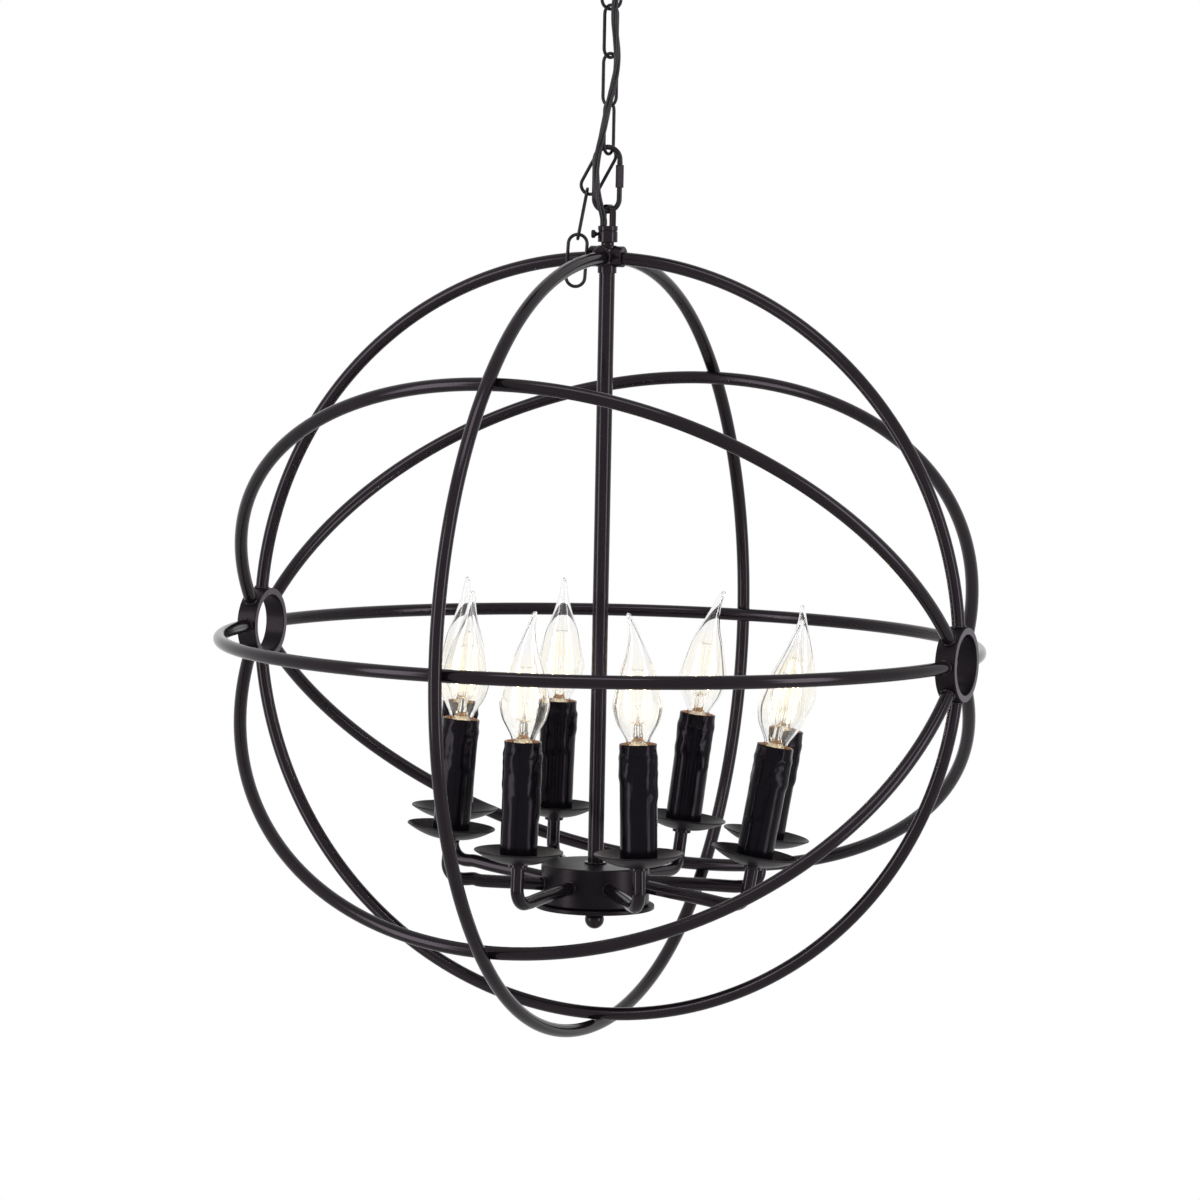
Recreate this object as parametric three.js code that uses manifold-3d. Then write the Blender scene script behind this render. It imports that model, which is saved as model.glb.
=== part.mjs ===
// Orb chandelier with eight candle lights, in millimetres, +Z up.
// The origin is on the ceiling, over the middle of the lamp, and everything hangs below it.
// Turns are counted from +X towards +Y. The quick link's flat side faces "front", across faceTurn.
import * as THREE from "three";
import { mergeVertices } from "three/addons/utils/BufferGeometryUtils.js";
import Module from "manifold-3d";

const fit = 0.3; // gap left between pieces that touch
const weldGap = 0.95; // between a hoop's slanting end and its hub
const faceTurn = 23; // degrees; the way "right" points when the lamp is seen from its front
const orbDrop = 546; // ceiling to the middle of the orb

// Cage
const hoopRadius = 275; // to the middle of the tube
const tube = 9.5; // diameter
const hoopTilts = { level: [0, 0], rising: [42.5, 47], falling: [-42.5, -45] }; // back and front halves
const uprightRise = 4; // the upright hoop stands this much high
const outerRadius = hoopRadius + tube + fit; // the outer hoop passes outside the others
const outerTop = 279.1; // where it enters the top hub
const outerBottom = -280.7;
const outerEaseFrom = 50; // degrees of elevation past which the outer hoop draws in
const hoopStep = 8; // degrees
const tubeSides = 8;
const sideHub = { radius: 26.5, wall: 5, length: 15, x: 273.6 };

// Top of the cage, heights above the middle of the orb
const hub = { z: 280, reach: 13, socket: 7.75, radius: 6.5, low: 272, high: 288 };
const hubCollar = { radius: 6.85, low: 268 };
const hubNeck = { radius: 4.7, high: 290 };
const grip = { radius: 7.15, low: 290.3, high: 302 };
const eye = { wire: 2.6, width: 13, under: 315.2, turn: -50 };
const screw = { z: 296, shaft: 0.95, knob: 2.85, tip: 2.6, head: 3.6, end: 12 };

// Chain, quick link and the spare links beside them
const link = { wire: 2.5, length: 40, width: 16 };
const chainTurns = [0, 47, -45, 60]; // from the top link down, off the front
const linkFit = 0.45; // between two hooked links
const chainPlace = [-0.6, 1.75, 352.3]; // right, back and underside of the lowest chain link
const chainPitch = link.length - 2 * link.wire - linkFit;
const quick = { wire: 3.8, length: 49.8, width: 21.7, bottom: 310.6, right: -1.2 };
const quickNut = { width: 6.7, height: 16.4, low: 329.5, hole: 2.1, thread: 1.45 };
const spareStart = [1.1, 3.55, 358.3]; // right, back, up
const spareDown = [
  [-0.462, 0.07, -0.884],
  [-0.165, -0.295, -0.94],
  [-0.05, 0, -1],
];
const spareAcross = [
  [0.886, 0, -0.463],
  [0, 1, 0],
  [1, 0, 0],
];

// Middle body, heights from the middle of the orb
const stem = { radius: 5.75, bottom: -160.7, nipple: 3.5, nippleEnd: -200 };
const cup = { radius: 39.5, top: -161, bottom: -190, wall: 1.5 };
const cover = { radius: 43.5, top: -190.3, bottom: -193.4 };
const finial = { radius: 7, z: -202, neck: 4.8, shoulder: 5.2, top: -193.7 };
const nippleHole = 3.9;

// Lights: how far out each one stands, how far up or down from the middle height, and its lean and bend.
// A lean is in degrees to the right, and a bend is how far the bulb's tip is drawn to the right.
const lights = [
  { turn: -4, reach: 123, rise: -7, lean: 9.5, bend: 2 },
  { turn: 34.5, reach: 123, rise: -4, lean: 9, bend: -4 },
  { turn: 81.5, reach: 119, rise: -2.5, lean: 6.6, bend: 7 },
  { turn: 128.5, reach: 119.5, rise: 3, lean: 1.4, bend: 0 },
  { turn: 173.5, reach: 121.5, rise: 7, lean: 2.2, bend: 0 },
  { turn: 221, reach: 112, rise: 5, lean: 4.3, bend: 0 },
  { turn: 265, reach: 118, rise: -3, lean: 1.3, bend: 5 },
  { turn: 308, reach: 119.5, rise: -2, lean: -1.5, bend: -6.5 },
];
const arm = { start: cup.radius + 0.5, z: -175, bend: 12, stub: 20 };
const dish = { radius: 31.5, low: 18, rim: 27, flat: 9, shoulder: 21, sheet: 1.6 }; // over the arm's bend
const sleeve = { radius: 13.25, wall: 1.5, low: 22, high: 105.5 };
const holder = { pipe: 5, step: 45, radius: 10, bore: 7.5, boreLow: 73, high: 101 };
const bulbCap = { radius: 6.8, length: 29 };
const bulbOutline = [
  [7.5, 0], [11.5, 8], [15.5, 15.5], [17.75, 26.5], [14.5, 41],
  [12, 52], [8.5, 61], [5.7, 70.5], [3.5, 79.6], [2.3, 89],
];
const bulbTip = 92;
const bulbBendFrom = 55;

// Ceiling, heights from the ceiling
const bracket = { length: 96, width: 22, sheet: 2.5, holeX: 34, holeRadius: 2.4 };
const stud = { radius: 5, low: -33 };
const canopyOutline = [[58, -0.7], [58, -5], [54.5, -14], [46, -22], [32, -27], [0, -27.7]];
const canopySheet = 1.4;
const canopyNut = { width: 17, low: -33.6, high: -28 };
const loop = { wire: 4, radius: 9 }; // radius to the middle of the wire
const loopEase = 0.2; // extra height, because the chain hangs a little off the loop's middle
const gland = { right: 14, back: -8.2, radius: 6, nose: 4.4, flange: -31, low: -34 };

// Supply cable: right, back and height over the middle of the orb, from the gland to the grip
const cable = { radius: 2.7, sides: 8 };
const cableRoute = [
  [14, -8.2, orbDrop + gland.low - fit], [14, -8.2, 502], [12.6, -8.1, 492], [9, -7.7, 482],
  [4.6, -7.2, 473], [1.8, -7.4, 463.5], [1.9, -8.2, 450], [3.4, -9, 437], [4.2, -9.7, 424.6],
  [3.6, -10, 414], [2.2, -10.1, 404.5], [0.3, -10.2, 394.5], [-1.8, -10.3, 385], [-4, -10.2, 375],
  [-6, -9.8, 366], [-7.6, -8.6, 357], [-8.7, -7, 347.5], [-8.9, -6, 337], [-8.1, -5.8, 326],
  [-6.2, -5.9, 317], [-4.1, -5, 310], [-3.2, -3.6, 305.5], [-3.1, -3.3, grip.high + 0.5],
];

const rad = THREE.MathUtils.degToRad;
const wasm = await Module();
wasm.setup();

const blackPaint = new THREE.MeshStandardMaterial({ color: 0x17140f, roughness: 0.45, metalness: 0.4 });
const wireBlack = new THREE.MeshStandardMaterial({ color: 0x1c1a19, roughness: 0.35, metalness: 0.6 });
const candleBlack = new THREE.MeshStandardMaterial({ color: 0x0c0b0b, roughness: 0.25, metalness: 0 });
const cableBlack = new THREE.MeshStandardMaterial({ color: 0x201e1e, roughness: 0.5, metalness: 0 });
const clearGlass = new THREE.MeshStandardMaterial({
  color: 0xf4f2ec,
  roughness: 0.05,
  metalness: 0,
  transparent: true,
  opacity: 0.35,
});

// A route that a sweep follows point by point.
class Route extends THREE.Curve {
  constructor(points) {
    super();
    this.points = points;
  }
  getPoint(t, target = new THREE.Vector3()) {
    const place = t * (this.points.length - 1);
    const i = Math.min(Math.floor(place), this.points.length - 2);
    return target.lerpVectors(this.points[i], this.points[i + 1], place - i);
  }
  getPointAt(u, target) {
    return this.getPoint(u, target);
  }
  getTangentAt(u, target) {
    return this.getTangent(u, target);
  }
}

// A place given as right, back and up, seen from the front.
function fromFront([right, back, up]) {
  return new THREE.Vector3(right, back, up).applyAxisAngle(new THREE.Vector3(0, 0, 1), rad(faceTurn));
}

// A round bar with closed ends.
function rod(points, radius, sides) {
  const section = new THREE.Shape();
  for (let i = 0; i < sides; i++) {
    const turn = (2 * Math.PI * i) / sides;
    section[i ? "lineTo" : "moveTo"](radius * Math.cos(turn), radius * Math.sin(turn));
  }
  return new THREE.ExtrudeGeometry(section, {
    steps: points.length - 1,
    bevelEnabled: false,
    extrudePath: new Route(points),
  });
}

// A ring of wire through points whose last is the first again.
function wireRing(points, wire) {
  return new THREE.TubeGeometry(new Route(points), points.length - 1, wire / 2, 6, true);
}

// A turned piece, from radius and height pairs that go up its outside, with its axis along Z.
function turned(outline, sides) {
  const points = outline.map(([radius, height]) => new THREE.Vector2(radius, height));
  return new THREE.LatheGeometry(points, sides).rotateX(Math.PI / 2);
}

// A closed outline for turned(): a plain ring or disc.
function ringOutline(outer, inner, low, high) {
  if (!inner) return [[0, low], [outer, low], [outer, high], [0, high]];
  return [[inner, low], [outer, low], [outer, high], [inner, high], [inner, low]];
}

// The solid of a closed mesh, for joining and cutting.
function solidOf(geometry) {
  const bare = geometry.clone().deleteAttribute("normal").deleteAttribute("uv");
  const merged = mergeVertices(bare, 1e-3);
  return new wasm.Manifold(new wasm.Mesh({
    numProp: 3,
    vertProperties: merged.attributes.position.array,
    triVerts: new Uint32Array(merged.index.array),
  }));
}

function geometryOf(solid) {
  const { vertProperties, triVerts } = solid.getMesh();
  const geometry = new THREE.BufferGeometry();
  geometry.setAttribute("position", new THREE.BufferAttribute(vertProperties, 3));
  geometry.setIndex(new THREE.BufferAttribute(triVerts, 1));
  geometry.computeVertexNormals();
  return geometry;
}

function joined(...geometries) {
  return geometryOf(geometries.map(solidOf).reduce((whole, piece) => whole.add(piece)));
}

function cutBy(geometry, ...holes) {
  return geometryOf(holes.map(solidOf).reduce((whole, hole) => whole.subtract(hole), solidOf(geometry)));
}

// A hexagonal nut, from its width across corners and its hole's radius.
function hexNut(width, hole, low, high) {
  const body = turned(ringOutline(width / 2, 0, low, high), 6);
  const bore = turned(ringOutline(hole, 0, low - 1, high + 1), 12);
  return cutBy(body, bore);
}

function named(name, geometry, material) {
  const mesh = new THREE.Mesh(geometry, material);
  mesh.name = name;
  return mesh;
}

// An arc of a hoop. at(turn) gives its points, and turns are in degrees.
function hoopArc(at, from, to) {
  const steps = Math.round(Math.abs(to - from) / hoopStep);
  const points = [];
  for (let i = 0; i <= steps; i++) points.push(at(rad(from + ((to - from) * i) / steps)));
  return rod(points, tube / 2, tubeSides);
}

// A stadium-shaped link in its own XZ plane, starting half way down one straight side.
function linkPoints(length, width, wire, bendSteps) {
  const bend = (width - wire) / 2;
  const straight = (length - wire) / 2 - bend;
  const points = [new THREE.Vector3(bend, 0, 0)];
  for (const end of [1, -1]) {
    for (let i = 0; i <= bendSteps; i++) {
      const turn = (Math.PI * i) / bendSteps;
      const up = straight + bend * Math.sin(turn);
      points.push(new THREE.Vector3(end * bend * Math.cos(turn), 0, end * up));
    }
    points.push(new THREE.Vector3(-end * bend, 0, 0));
  }
  return points;
}

function chainLink(name) {
  return named(name, wireRing(linkPoints(link.length, link.width, link.wire, 6), link.wire), wireBlack);
}

// Level, slanting and upright hoops run from hub to hub, and leave a gap at each.
function buildHoops() {
  const group = new THREE.Group();
  const reach = sideHub.radius + weldGap;
  const from = THREE.MathUtils.radToDeg(Math.asin(reach / hoopRadius));
  const level = (turn) => new THREE.Vector3(hoopRadius * Math.cos(turn), hoopRadius * Math.sin(turn), 0);
  for (const [name, [back, front]] of Object.entries(hoopTilts)) {
    for (const [half, side, tilt] of [["back", 1, back], ["front", -1, front]]) {
      const arc = hoopArc(level, side * from, side * (180 - from));
      const mesh = named(name + "_hoop_" + half, arc, blackPaint);
      mesh.rotation.x = rad(tilt);
      group.add(mesh);
    }
  }
  const upright = (turn) =>
    new THREE.Vector3(hoopRadius * Math.cos(turn), 0, uprightRise + hoopRadius * Math.sin(turn));
  const low = THREE.MathUtils.radToDeg(Math.asin((reach - uprightRise) / hoopRadius));
  const under = -THREE.MathUtils.radToDeg(Math.asin((reach + uprightRise) / hoopRadius));
  const top = THREE.MathUtils.radToDeg(Math.acos((hub.reach + weldGap) / hoopRadius));
  group.add(named("upright_hoop_right", hoopArc(upright, low, top), blackPaint));
  group.add(named("upright_hoop_left", hoopArc(upright, 180 - low, 180 - top), blackPaint));
  group.add(named("upright_hoop_lower", hoopArc(upright, under, -180 - under), blackPaint));

  // The outer hoop crosses all the others outside them, and draws in to the hub above and the hoop below.
  const outer = (turn) => {
    const rise = Math.sin(turn);
    const past = Math.max(0, Math.abs(THREE.MathUtils.radToDeg(Math.asin(rise))) - outerEaseFrom);
    const ease = THREE.MathUtils.smoothstep(past, 0, 90 - outerEaseFrom);
    const drawn = outerRadius - (rise > 0 ? outerTop : -outerBottom);
    const radius = outerRadius - drawn * ease;
    return new THREE.Vector3(0, radius * Math.cos(turn), radius * rise);
  };
  const outerStart = THREE.MathUtils.radToDeg(Math.acos((hub.reach + weldGap) / outerTop));
  group.add(named("outer_hoop", hoopArc(outer, outerStart, -180 - outerStart), blackPaint));
  return group;
}

function buildSideHubs() {
  const group = new THREE.Group();
  for (const [name, side] of [["side_hub_right", 1], ["side_hub_left", -1]]) {
    const outline = ringOutline(
      sideHub.radius, sideHub.radius - sideHub.wall, -sideHub.length / 2, sideHub.length / 2,
    );
    const mesh = named(name, turned(outline, 24), blackPaint);
    mesh.rotation.y = Math.PI / 2;
    mesh.position.x = side * sideHub.x;
    group.add(mesh);
  }
  return group;
}

// The cross fitting at the top, with a socket for each tube, the neck above it and the collar below.
function buildTopHub() {
  const socket = () => turned(ringOutline(hub.socket, 0, -hub.reach, hub.reach), 12);
  const middle = turned([
    [0, hubCollar.low], [hubCollar.radius, hubCollar.low], [hubCollar.radius, hub.low + 1],
    [hub.radius, hub.low + 1], [hub.radius, hub.high], [hubNeck.radius, hub.high],
    [hubNeck.radius, hubNeck.high], [0, hubNeck.high],
  ], 16);
  const cross = [
    socket().rotateY(Math.PI / 2).translate(0, 0, hub.z),
    socket().rotateX(Math.PI / 2).translate(0, 0, hub.z),
  ];
  return named("top_hub", joined(middle, ...cross), blackPaint);
}

// The collar that grips the cable, its eye and its thumb screw, which points left.
function buildGrip() {
  const group = new THREE.Group();
  const screwHole = turned(ringOutline(screw.shaft + 0.4, 0, screw.tip - 0.5, grip.radius + 1), 8);
  screwHole.rotateY(-Math.PI / 2).rotateZ(rad(faceTurn)).translate(0, 0, screw.z);
  const collar = turned(ringOutline(grip.radius, 0, grip.low, grip.high), 16);
  group.add(named("grip_collar", cutBy(collar, screwHole), blackPaint));

  const bend = (eye.width - eye.wire) / 2;
  const springing = eye.under + eye.wire / 2 - bend;
  const arch = [new THREE.Vector3(bend, 0, grip.high + fit)];
  for (let i = 0; i <= 6; i++) {
    const turn = (Math.PI * i) / 6;
    arch.push(new THREE.Vector3(bend * Math.cos(turn), 0, springing + bend * Math.sin(turn)));
  }
  arch.push(new THREE.Vector3(-bend, 0, grip.high + fit));
  const eyeMesh = named("hanging_eye", rod(arch, eye.wire / 2, tubeSides), blackPaint);
  eyeMesh.rotation.z = rad(faceTurn + eye.turn);
  group.add(eyeMesh);

  const { shaft, knob, tip, end } = screw;
  const neck = end - screw.head;
  const screwShape = turned([
    [0, tip], [shaft, tip], [shaft, neck], [knob * 0.75, neck + 0.5],
    [knob, neck + 1.5], [knob, end - 0.8], [knob * 0.7, end], [0, end],
  ], 10);
  screwShape.rotateY(-Math.PI / 2);
  const screwMesh = named("thumb_screw", screwShape, blackPaint);
  screwMesh.rotation.z = rad(faceTurn);
  screwMesh.position.z = screw.z;
  group.add(screwMesh);
  return group;
}

function buildMiddle() {
  const group = new THREE.Group();
  const pipe = turned([
    [0, stem.nippleEnd], [stem.nipple, stem.nippleEnd], [stem.nipple, stem.bottom],
    [stem.radius, stem.bottom], [stem.radius, hubCollar.low - fit], [0, hubCollar.low - fit],
  ], 12);
  group.add(named("stem_pipe", pipe, blackPaint));

  const inside = cup.radius - cup.wall;
  group.add(named("body_cup", turned([
    [inside, cup.bottom], [cup.radius, cup.bottom], [cup.radius, cup.top - 2], [cup.radius - 2, cup.top],
    [nippleHole, cup.top], [nippleHole, cup.top - cup.wall], [inside - 1.5, cup.top - cup.wall],
    [inside, cup.top - cup.wall - 1.5], [inside, cup.bottom],
  ], 24), blackPaint));
  group.add(named("cover_plate", turned([
    [nippleHole, cover.bottom], [cover.radius - 1, cover.bottom], [cover.radius, cover.bottom + 1],
    [cover.radius, cover.top], [nippleHole, cover.top], [nippleHole, cover.bottom],
  ], 24), blackPaint));

  const ball = [[0, finial.z - finial.radius]];
  for (let turn = -60; turn <= 30; turn += 30) {
    ball.push([finial.radius * Math.cos(rad(turn)), finial.z + finial.radius * Math.sin(rad(turn))]);
  }
  ball.push([finial.neck, finial.z + finial.shoulder], [finial.neck, finial.top], [nippleHole, finial.top]);
  ball.push([nippleHole, stem.nippleEnd - 0.5], [0, stem.nippleEnd - 0.5]);
  group.add(named("finial", turned(ball, 12), blackPaint));
  return group;
}

// The frame of one light: its origin at the end of the arm's bend, and its Z up the leaning candle.
function lightFrame({ turn, reach, rise, lean }) {
  const frame = new THREE.Group();
  const height = arm.z + arm.bend + rise;
  frame.position.set(reach * Math.cos(rad(turn)), reach * Math.sin(rad(turn)), height);
  frame.quaternion.setFromAxisAngle(fromFront([0, 1, 0]), rad(lean));
  frame.updateMatrix();
  return frame;
}

// The arm with its dish and lamp holder: out from the body, up round the bend and through the dish.
function armShape(light, frame) {
  const out = new THREE.Vector3(Math.cos(rad(light.turn)), Math.sin(rad(light.turn)), 0);
  const at = (radius, z) => out.clone().multiplyScalar(radius).setZ(z);
  const points = [at(arm.start, arm.z)];
  const bendSteps = 4;
  for (let i = 0; i <= bendSteps; i++) {
    const turn = (Math.PI * i) / (2 * bendSteps);
    points.push(at(
      light.reach - arm.bend + arm.bend * Math.sin(turn),
      arm.z + light.rise + arm.bend * (1 - Math.cos(turn)),
    ));
  }
  points.push(new THREE.Vector3(0, 0, arm.stub).applyMatrix4(frame.matrix));
  const { radius, low, rim, flat, shoulder, sheet } = dish;
  const pan = turned([
    [0, low], [flat, low], [shoulder, low + 1.6], [radius, rim - 1], [radius, rim],
    [shoulder, low + 1.8 + sheet], [flat, low + sheet], [0, low + sheet],
  ], 12);
  const { pipe, step, bore, boreLow, high } = holder;
  const socket = turned([
    [0, low + 1], [pipe, low + 1], [pipe, step], [holder.radius, step],
    [holder.radius, high], [bore, high], [bore, boreLow], [0, boreLow],
  ], 10);
  return joined(
    rod(points, tube / 2, tubeSides),
    pan.applyMatrix4(frame.matrix),
    socket.applyMatrix4(frame.matrix),
  );
}

// A candle bulb whose tip is drawn out to one side. Its cap reaches down into the holder.
function bulbShape(bend) {
  const shape = turned([
    [0, -bulbCap.length], [bulbCap.radius, -bulbCap.length], [bulbCap.radius, -1], ...bulbOutline,
    [0, bulbTip],
  ], 10);
  const places = shape.attributes.position;
  const side = fromFront([1, 0, 0]);
  for (let i = 0; i < places.count; i++) {
    const past = Math.max(0, places.getZ(i) - bulbBendFrom) / (bulbTip - bulbBendFrom);
    places.setX(i, places.getX(i) + side.x * bend * past ** 2);
    places.setY(i, places.getY(i) + side.y * bend * past ** 2);
  }
  return shape.translate(0, 0, sleeve.high + fit);
}

function buildLights() {
  const group = new THREE.Group();
  lights.forEach((light, i) => {
    const frame = lightFrame(light);
    group.add(named("light_arm_" + (i + 1), armShape(light, frame), blackPaint));
    const tubeOutline = ringOutline(sleeve.radius, sleeve.radius - sleeve.wall, sleeve.low, sleeve.high);
    frame.add(named("candle_sleeve_" + (i + 1), turned(tubeOutline, 12), candleBlack));
    frame.add(named("bulb_" + (i + 1), bulbShape(light.bend), clearGlass));
    group.add(frame);
  });
  return group;
}

// The chain: each link's top bend sits in the bottom bend of the link above.
function buildChain() {
  const group = new THREE.Group();
  const [right, back, bottom] = chainPlace;
  const low = chainTurns.length - 1;
  chainTurns.forEach((turn, i) => {
    const mesh = chainLink("chain_link_" + (i + 1));
    mesh.position.copy(fromFront([right, back, bottom + link.length / 2 + (low - i) * chainPitch]));
    mesh.rotation.z = rad(faceTurn + turn);
    group.add(mesh);
  });

  // The spare links hang from the lowest link, beside the quick link.
  const span = link.length - link.wire;
  const hooked = link.wire + linkFit;
  let top = new THREE.Vector3(...spareStart);
  spareDown.forEach((down, i) => {
    const along = new THREE.Vector3(...down).normalize();
    const across = new THREE.Vector3(...spareAcross[i]);
    across.addScaledVector(along, -across.dot(along)).normalize();
    const middle = top.clone().addScaledVector(along, span / 2);
    const mesh = chainLink("spare_link_" + (i + 1));
    const up = fromFront(along.clone().negate().toArray());
    const side = fromFront(across.toArray());
    mesh.setRotationFromMatrix(new THREE.Matrix4().makeBasis(side, up.clone().cross(side), up));
    mesh.position.copy(fromFront(middle.toArray()));
    group.add(mesh);
    if (i + 1 < spareDown.length) {
      const next = new THREE.Vector3(...spareDown[i + 1]).normalize();
      top = top.addScaledVector(along, span).addScaledVector(next.add(along).normalize(), -hooked);
    }
  });
  return group;
}

// The quick link is one wire loop, open on its right side under the nut that closes it.
function buildQuickLink() {
  const group = new THREE.Group();
  const ring = wireRing(linkPoints(quick.length, quick.width, quick.wire, 8), quick.wire);
  const nutLow = quickNut.low - quick.bottom - quick.length / 2;
  const legX = (quick.width - quick.wire) / 2;
  const nutHigh = nutLow + quickNut.height;
  const slim = turned(ringOutline(quick.wire, quickNut.thread, nutLow - fit, nutHigh + fit), 12);
  slim.translate(legX, 0, 0);
  const wireMesh = named("quick_link", cutBy(ring, slim), wireBlack);
  const nut = hexNut(quickNut.width, quickNut.hole, nutLow, nutHigh);
  const nutMesh = named("quick_link_nut", nut.translate(legX, 0, 0), wireBlack);
  group.add(wireMesh, nutMesh);
  group.position.copy(fromFront([quick.right, 0, quick.bottom + quick.length / 2]));
  group.rotation.z = rad(faceTurn);
  return group;
}

function buildCable() {
  const points = new THREE.CatmullRomCurve3(cableRoute.map(fromFront)).getPoints(cableRoute.length - 1);
  return named("supply_cable", rod(points, cable.radius, cable.sides), cableBlack);
}

// What holds the chain: a bar screwed to the ceiling, its stud, the canopy, and the loop under its nut.
function buildCeilingParts() {
  const group = new THREE.Group();
  const bar = new THREE.BoxGeometry(bracket.length, bracket.width, bracket.sheet);
  bar.translate(0, 0, -bracket.sheet / 2);
  const screwHoles = [1, -1].map((side) => {
    const hole = turned(ringOutline(bracket.holeRadius, 0, -bracket.sheet - 1, 1), 10);
    return hole.translate(side * bracket.holeX, 0, 0);
  });
  group.add(named("ceiling_bracket", cutBy(bar, ...screwHoles), wireBlack));
  const studOutline = ringOutline(stud.radius, 0, stud.low, -bracket.sheet - fit);
  group.add(named("hanging_stud", turned(studOutline, 12), wireBlack));

  const outside = canopyOutline.slice(0, -1);
  const inside = outside.map(([radius, z]) => [radius - canopySheet, z + canopySheet * 0.6]);
  inside[0][1] = outside[0][1];
  const floor = canopyOutline.at(-1)[1];
  const studHole = stud.radius + 0.4;
  const shell = turned([
    [studHole, floor], ...outside.reverse(), ...inside,
    [studHole, floor + canopySheet], [studHole, floor],
  ], 24);
  const glandPlace = fromFront([gland.right, gland.back, 0]);
  const glandHole = turned(ringOutline(gland.nose + 0.4, 0, floor - 2, floor + 4), 10);
  glandHole.translate(glandPlace.x, glandPlace.y, 0);
  group.add(named("canopy", cutBy(shell, glandHole), blackPaint));

  const nut = hexNut(canopyNut.width, stud.radius + fit, canopyNut.low, canopyNut.high);
  group.add(named("canopy_nut", nut, wireBlack));

  const linkTop = chainPlace[2] - orbDrop + link.length + (chainTurns.length - 1) * chainPitch;
  const ringLow = linkTop - link.wire - linkFit - loop.wire / 2 - loopEase;
  const ringPoints = [];
  for (let turn = 0; turn <= 360; turn += 18) {
    const [across, up] = [Math.sin(rad(turn)), Math.cos(rad(turn))];
    ringPoints.push(new THREE.Vector3(loop.radius * across, 0, loop.radius * up));
  }
  const ring = wireRing(ringPoints, loop.wire).translate(0, 0, ringLow + loop.radius);
  const boss = turned(ringOutline(stud.radius, 0, ringLow + 2 * loop.radius - 1, stud.low - fit), 12);
  const loopMesh = named("canopy_loop", joined(ring, boss), wireBlack);
  loopMesh.rotation.z = rad(faceTurn + 90);
  group.add(loopMesh);

  const glandMesh = named("cable_gland", turned([
    [0, gland.low], [gland.nose, gland.low], [gland.nose, gland.flange], [gland.radius, gland.flange],
    [gland.radius, floor - fit], [gland.nose, floor - fit], [gland.nose, floor + 3], [0, floor + 3],
  ], 10), cableBlack);
  glandMesh.position.copy(glandPlace);
  group.add(glandMesh);
  return group;
}

const chandelier = new THREE.Group();
const hanging = new THREE.Group();
hanging.position.z = -orbDrop;
hanging.add(buildHoops(), buildSideHubs(), buildTopHub(), buildGrip(), buildMiddle(), buildLights());
hanging.add(buildChain(), buildQuickLink(), buildCable());
chandelier.add(buildCeilingParts(), hanging);

export default chandelier;
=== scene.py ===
import random
import bmesh
import bpy
from math import acos, asin, atan2, cos, degrees, exp, hypot, pi, radians, sin, sqrt, tau
from mathutils import Matrix, Vector, noise


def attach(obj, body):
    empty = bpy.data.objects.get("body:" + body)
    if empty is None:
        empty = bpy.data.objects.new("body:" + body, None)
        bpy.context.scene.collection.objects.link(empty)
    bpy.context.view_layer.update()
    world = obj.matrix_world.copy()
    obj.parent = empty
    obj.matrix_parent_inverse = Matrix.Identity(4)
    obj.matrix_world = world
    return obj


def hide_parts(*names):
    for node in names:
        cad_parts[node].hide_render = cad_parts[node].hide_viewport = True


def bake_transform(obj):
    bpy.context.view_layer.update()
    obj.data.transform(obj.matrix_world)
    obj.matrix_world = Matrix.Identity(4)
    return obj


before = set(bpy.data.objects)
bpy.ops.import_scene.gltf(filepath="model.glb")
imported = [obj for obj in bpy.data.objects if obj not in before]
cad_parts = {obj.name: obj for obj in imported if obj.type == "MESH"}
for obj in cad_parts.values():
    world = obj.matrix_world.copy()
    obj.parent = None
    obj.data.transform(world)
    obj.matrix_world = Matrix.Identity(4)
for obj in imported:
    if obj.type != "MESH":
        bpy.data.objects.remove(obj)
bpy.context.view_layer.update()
scene = bpy.context.scene
mm = 0.001

# the origin is on the ceiling, and the orb hangs below it
place = {"faceTurn": radians(23), "orbMiddle": Vector((0, 0, -0.546))}
orb = Matrix.Translation(place["orbMiddle"])


def fromFront(right, back, up):
    # right and back as seen from the quick link's flat side, in millimetres
    c, s = cos(place["faceTurn"]), sin(place["faceTurn"])
    return Vector((right * c - back * s, right * s + back * c, up)) * mm


def overOrb(right, back, up):
    return place["orbMiddle"] + fromFront(right, back, up)


def faced(turn=0):
    # a turn about the upright axis, in degrees from the quick link's flat side
    return Matrix.Rotation(place["faceTurn"] + radians(turn), 4, "Z")


def upward(height):
    return Vector((0, 0, height)) * mm


def polar(radius, turn, height=0):
    return Vector((radius * cos(turn), radius * sin(turn), height))


def eased(t):
    t = max(0, min(1, t))
    return t * t * (3 - 2 * t)


view = {
    "eye": (1.4693, -3.4787, -0.1829),
    "look": (-0.3877, 0.9176, -0.0875),
    "right": (0.9203, 0.3907, 0.0194),
    "lens": 156.9,
    "sensor": 36.0,
}


def buildCamera():
    data = bpy.data.cameras.new("camera")
    data.lens, data.sensor_width, data.sensor_fit = view["lens"], view["sensor"], "HORIZONTAL"
    data.clip_end = 60
    camera = bpy.data.objects.new("camera", data)
    scene.collection.objects.link(camera)
    look = Vector(view["look"]).normalized()
    right = Vector(view["right"])
    right = (right - look * right.dot(look)).normalized()
    turn = Matrix((right, right.cross(look), -look)).transposed().to_4x4()
    camera.matrix_world = Matrix.Translation(view["eye"]) @ turn
    scene.camera = camera


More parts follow.
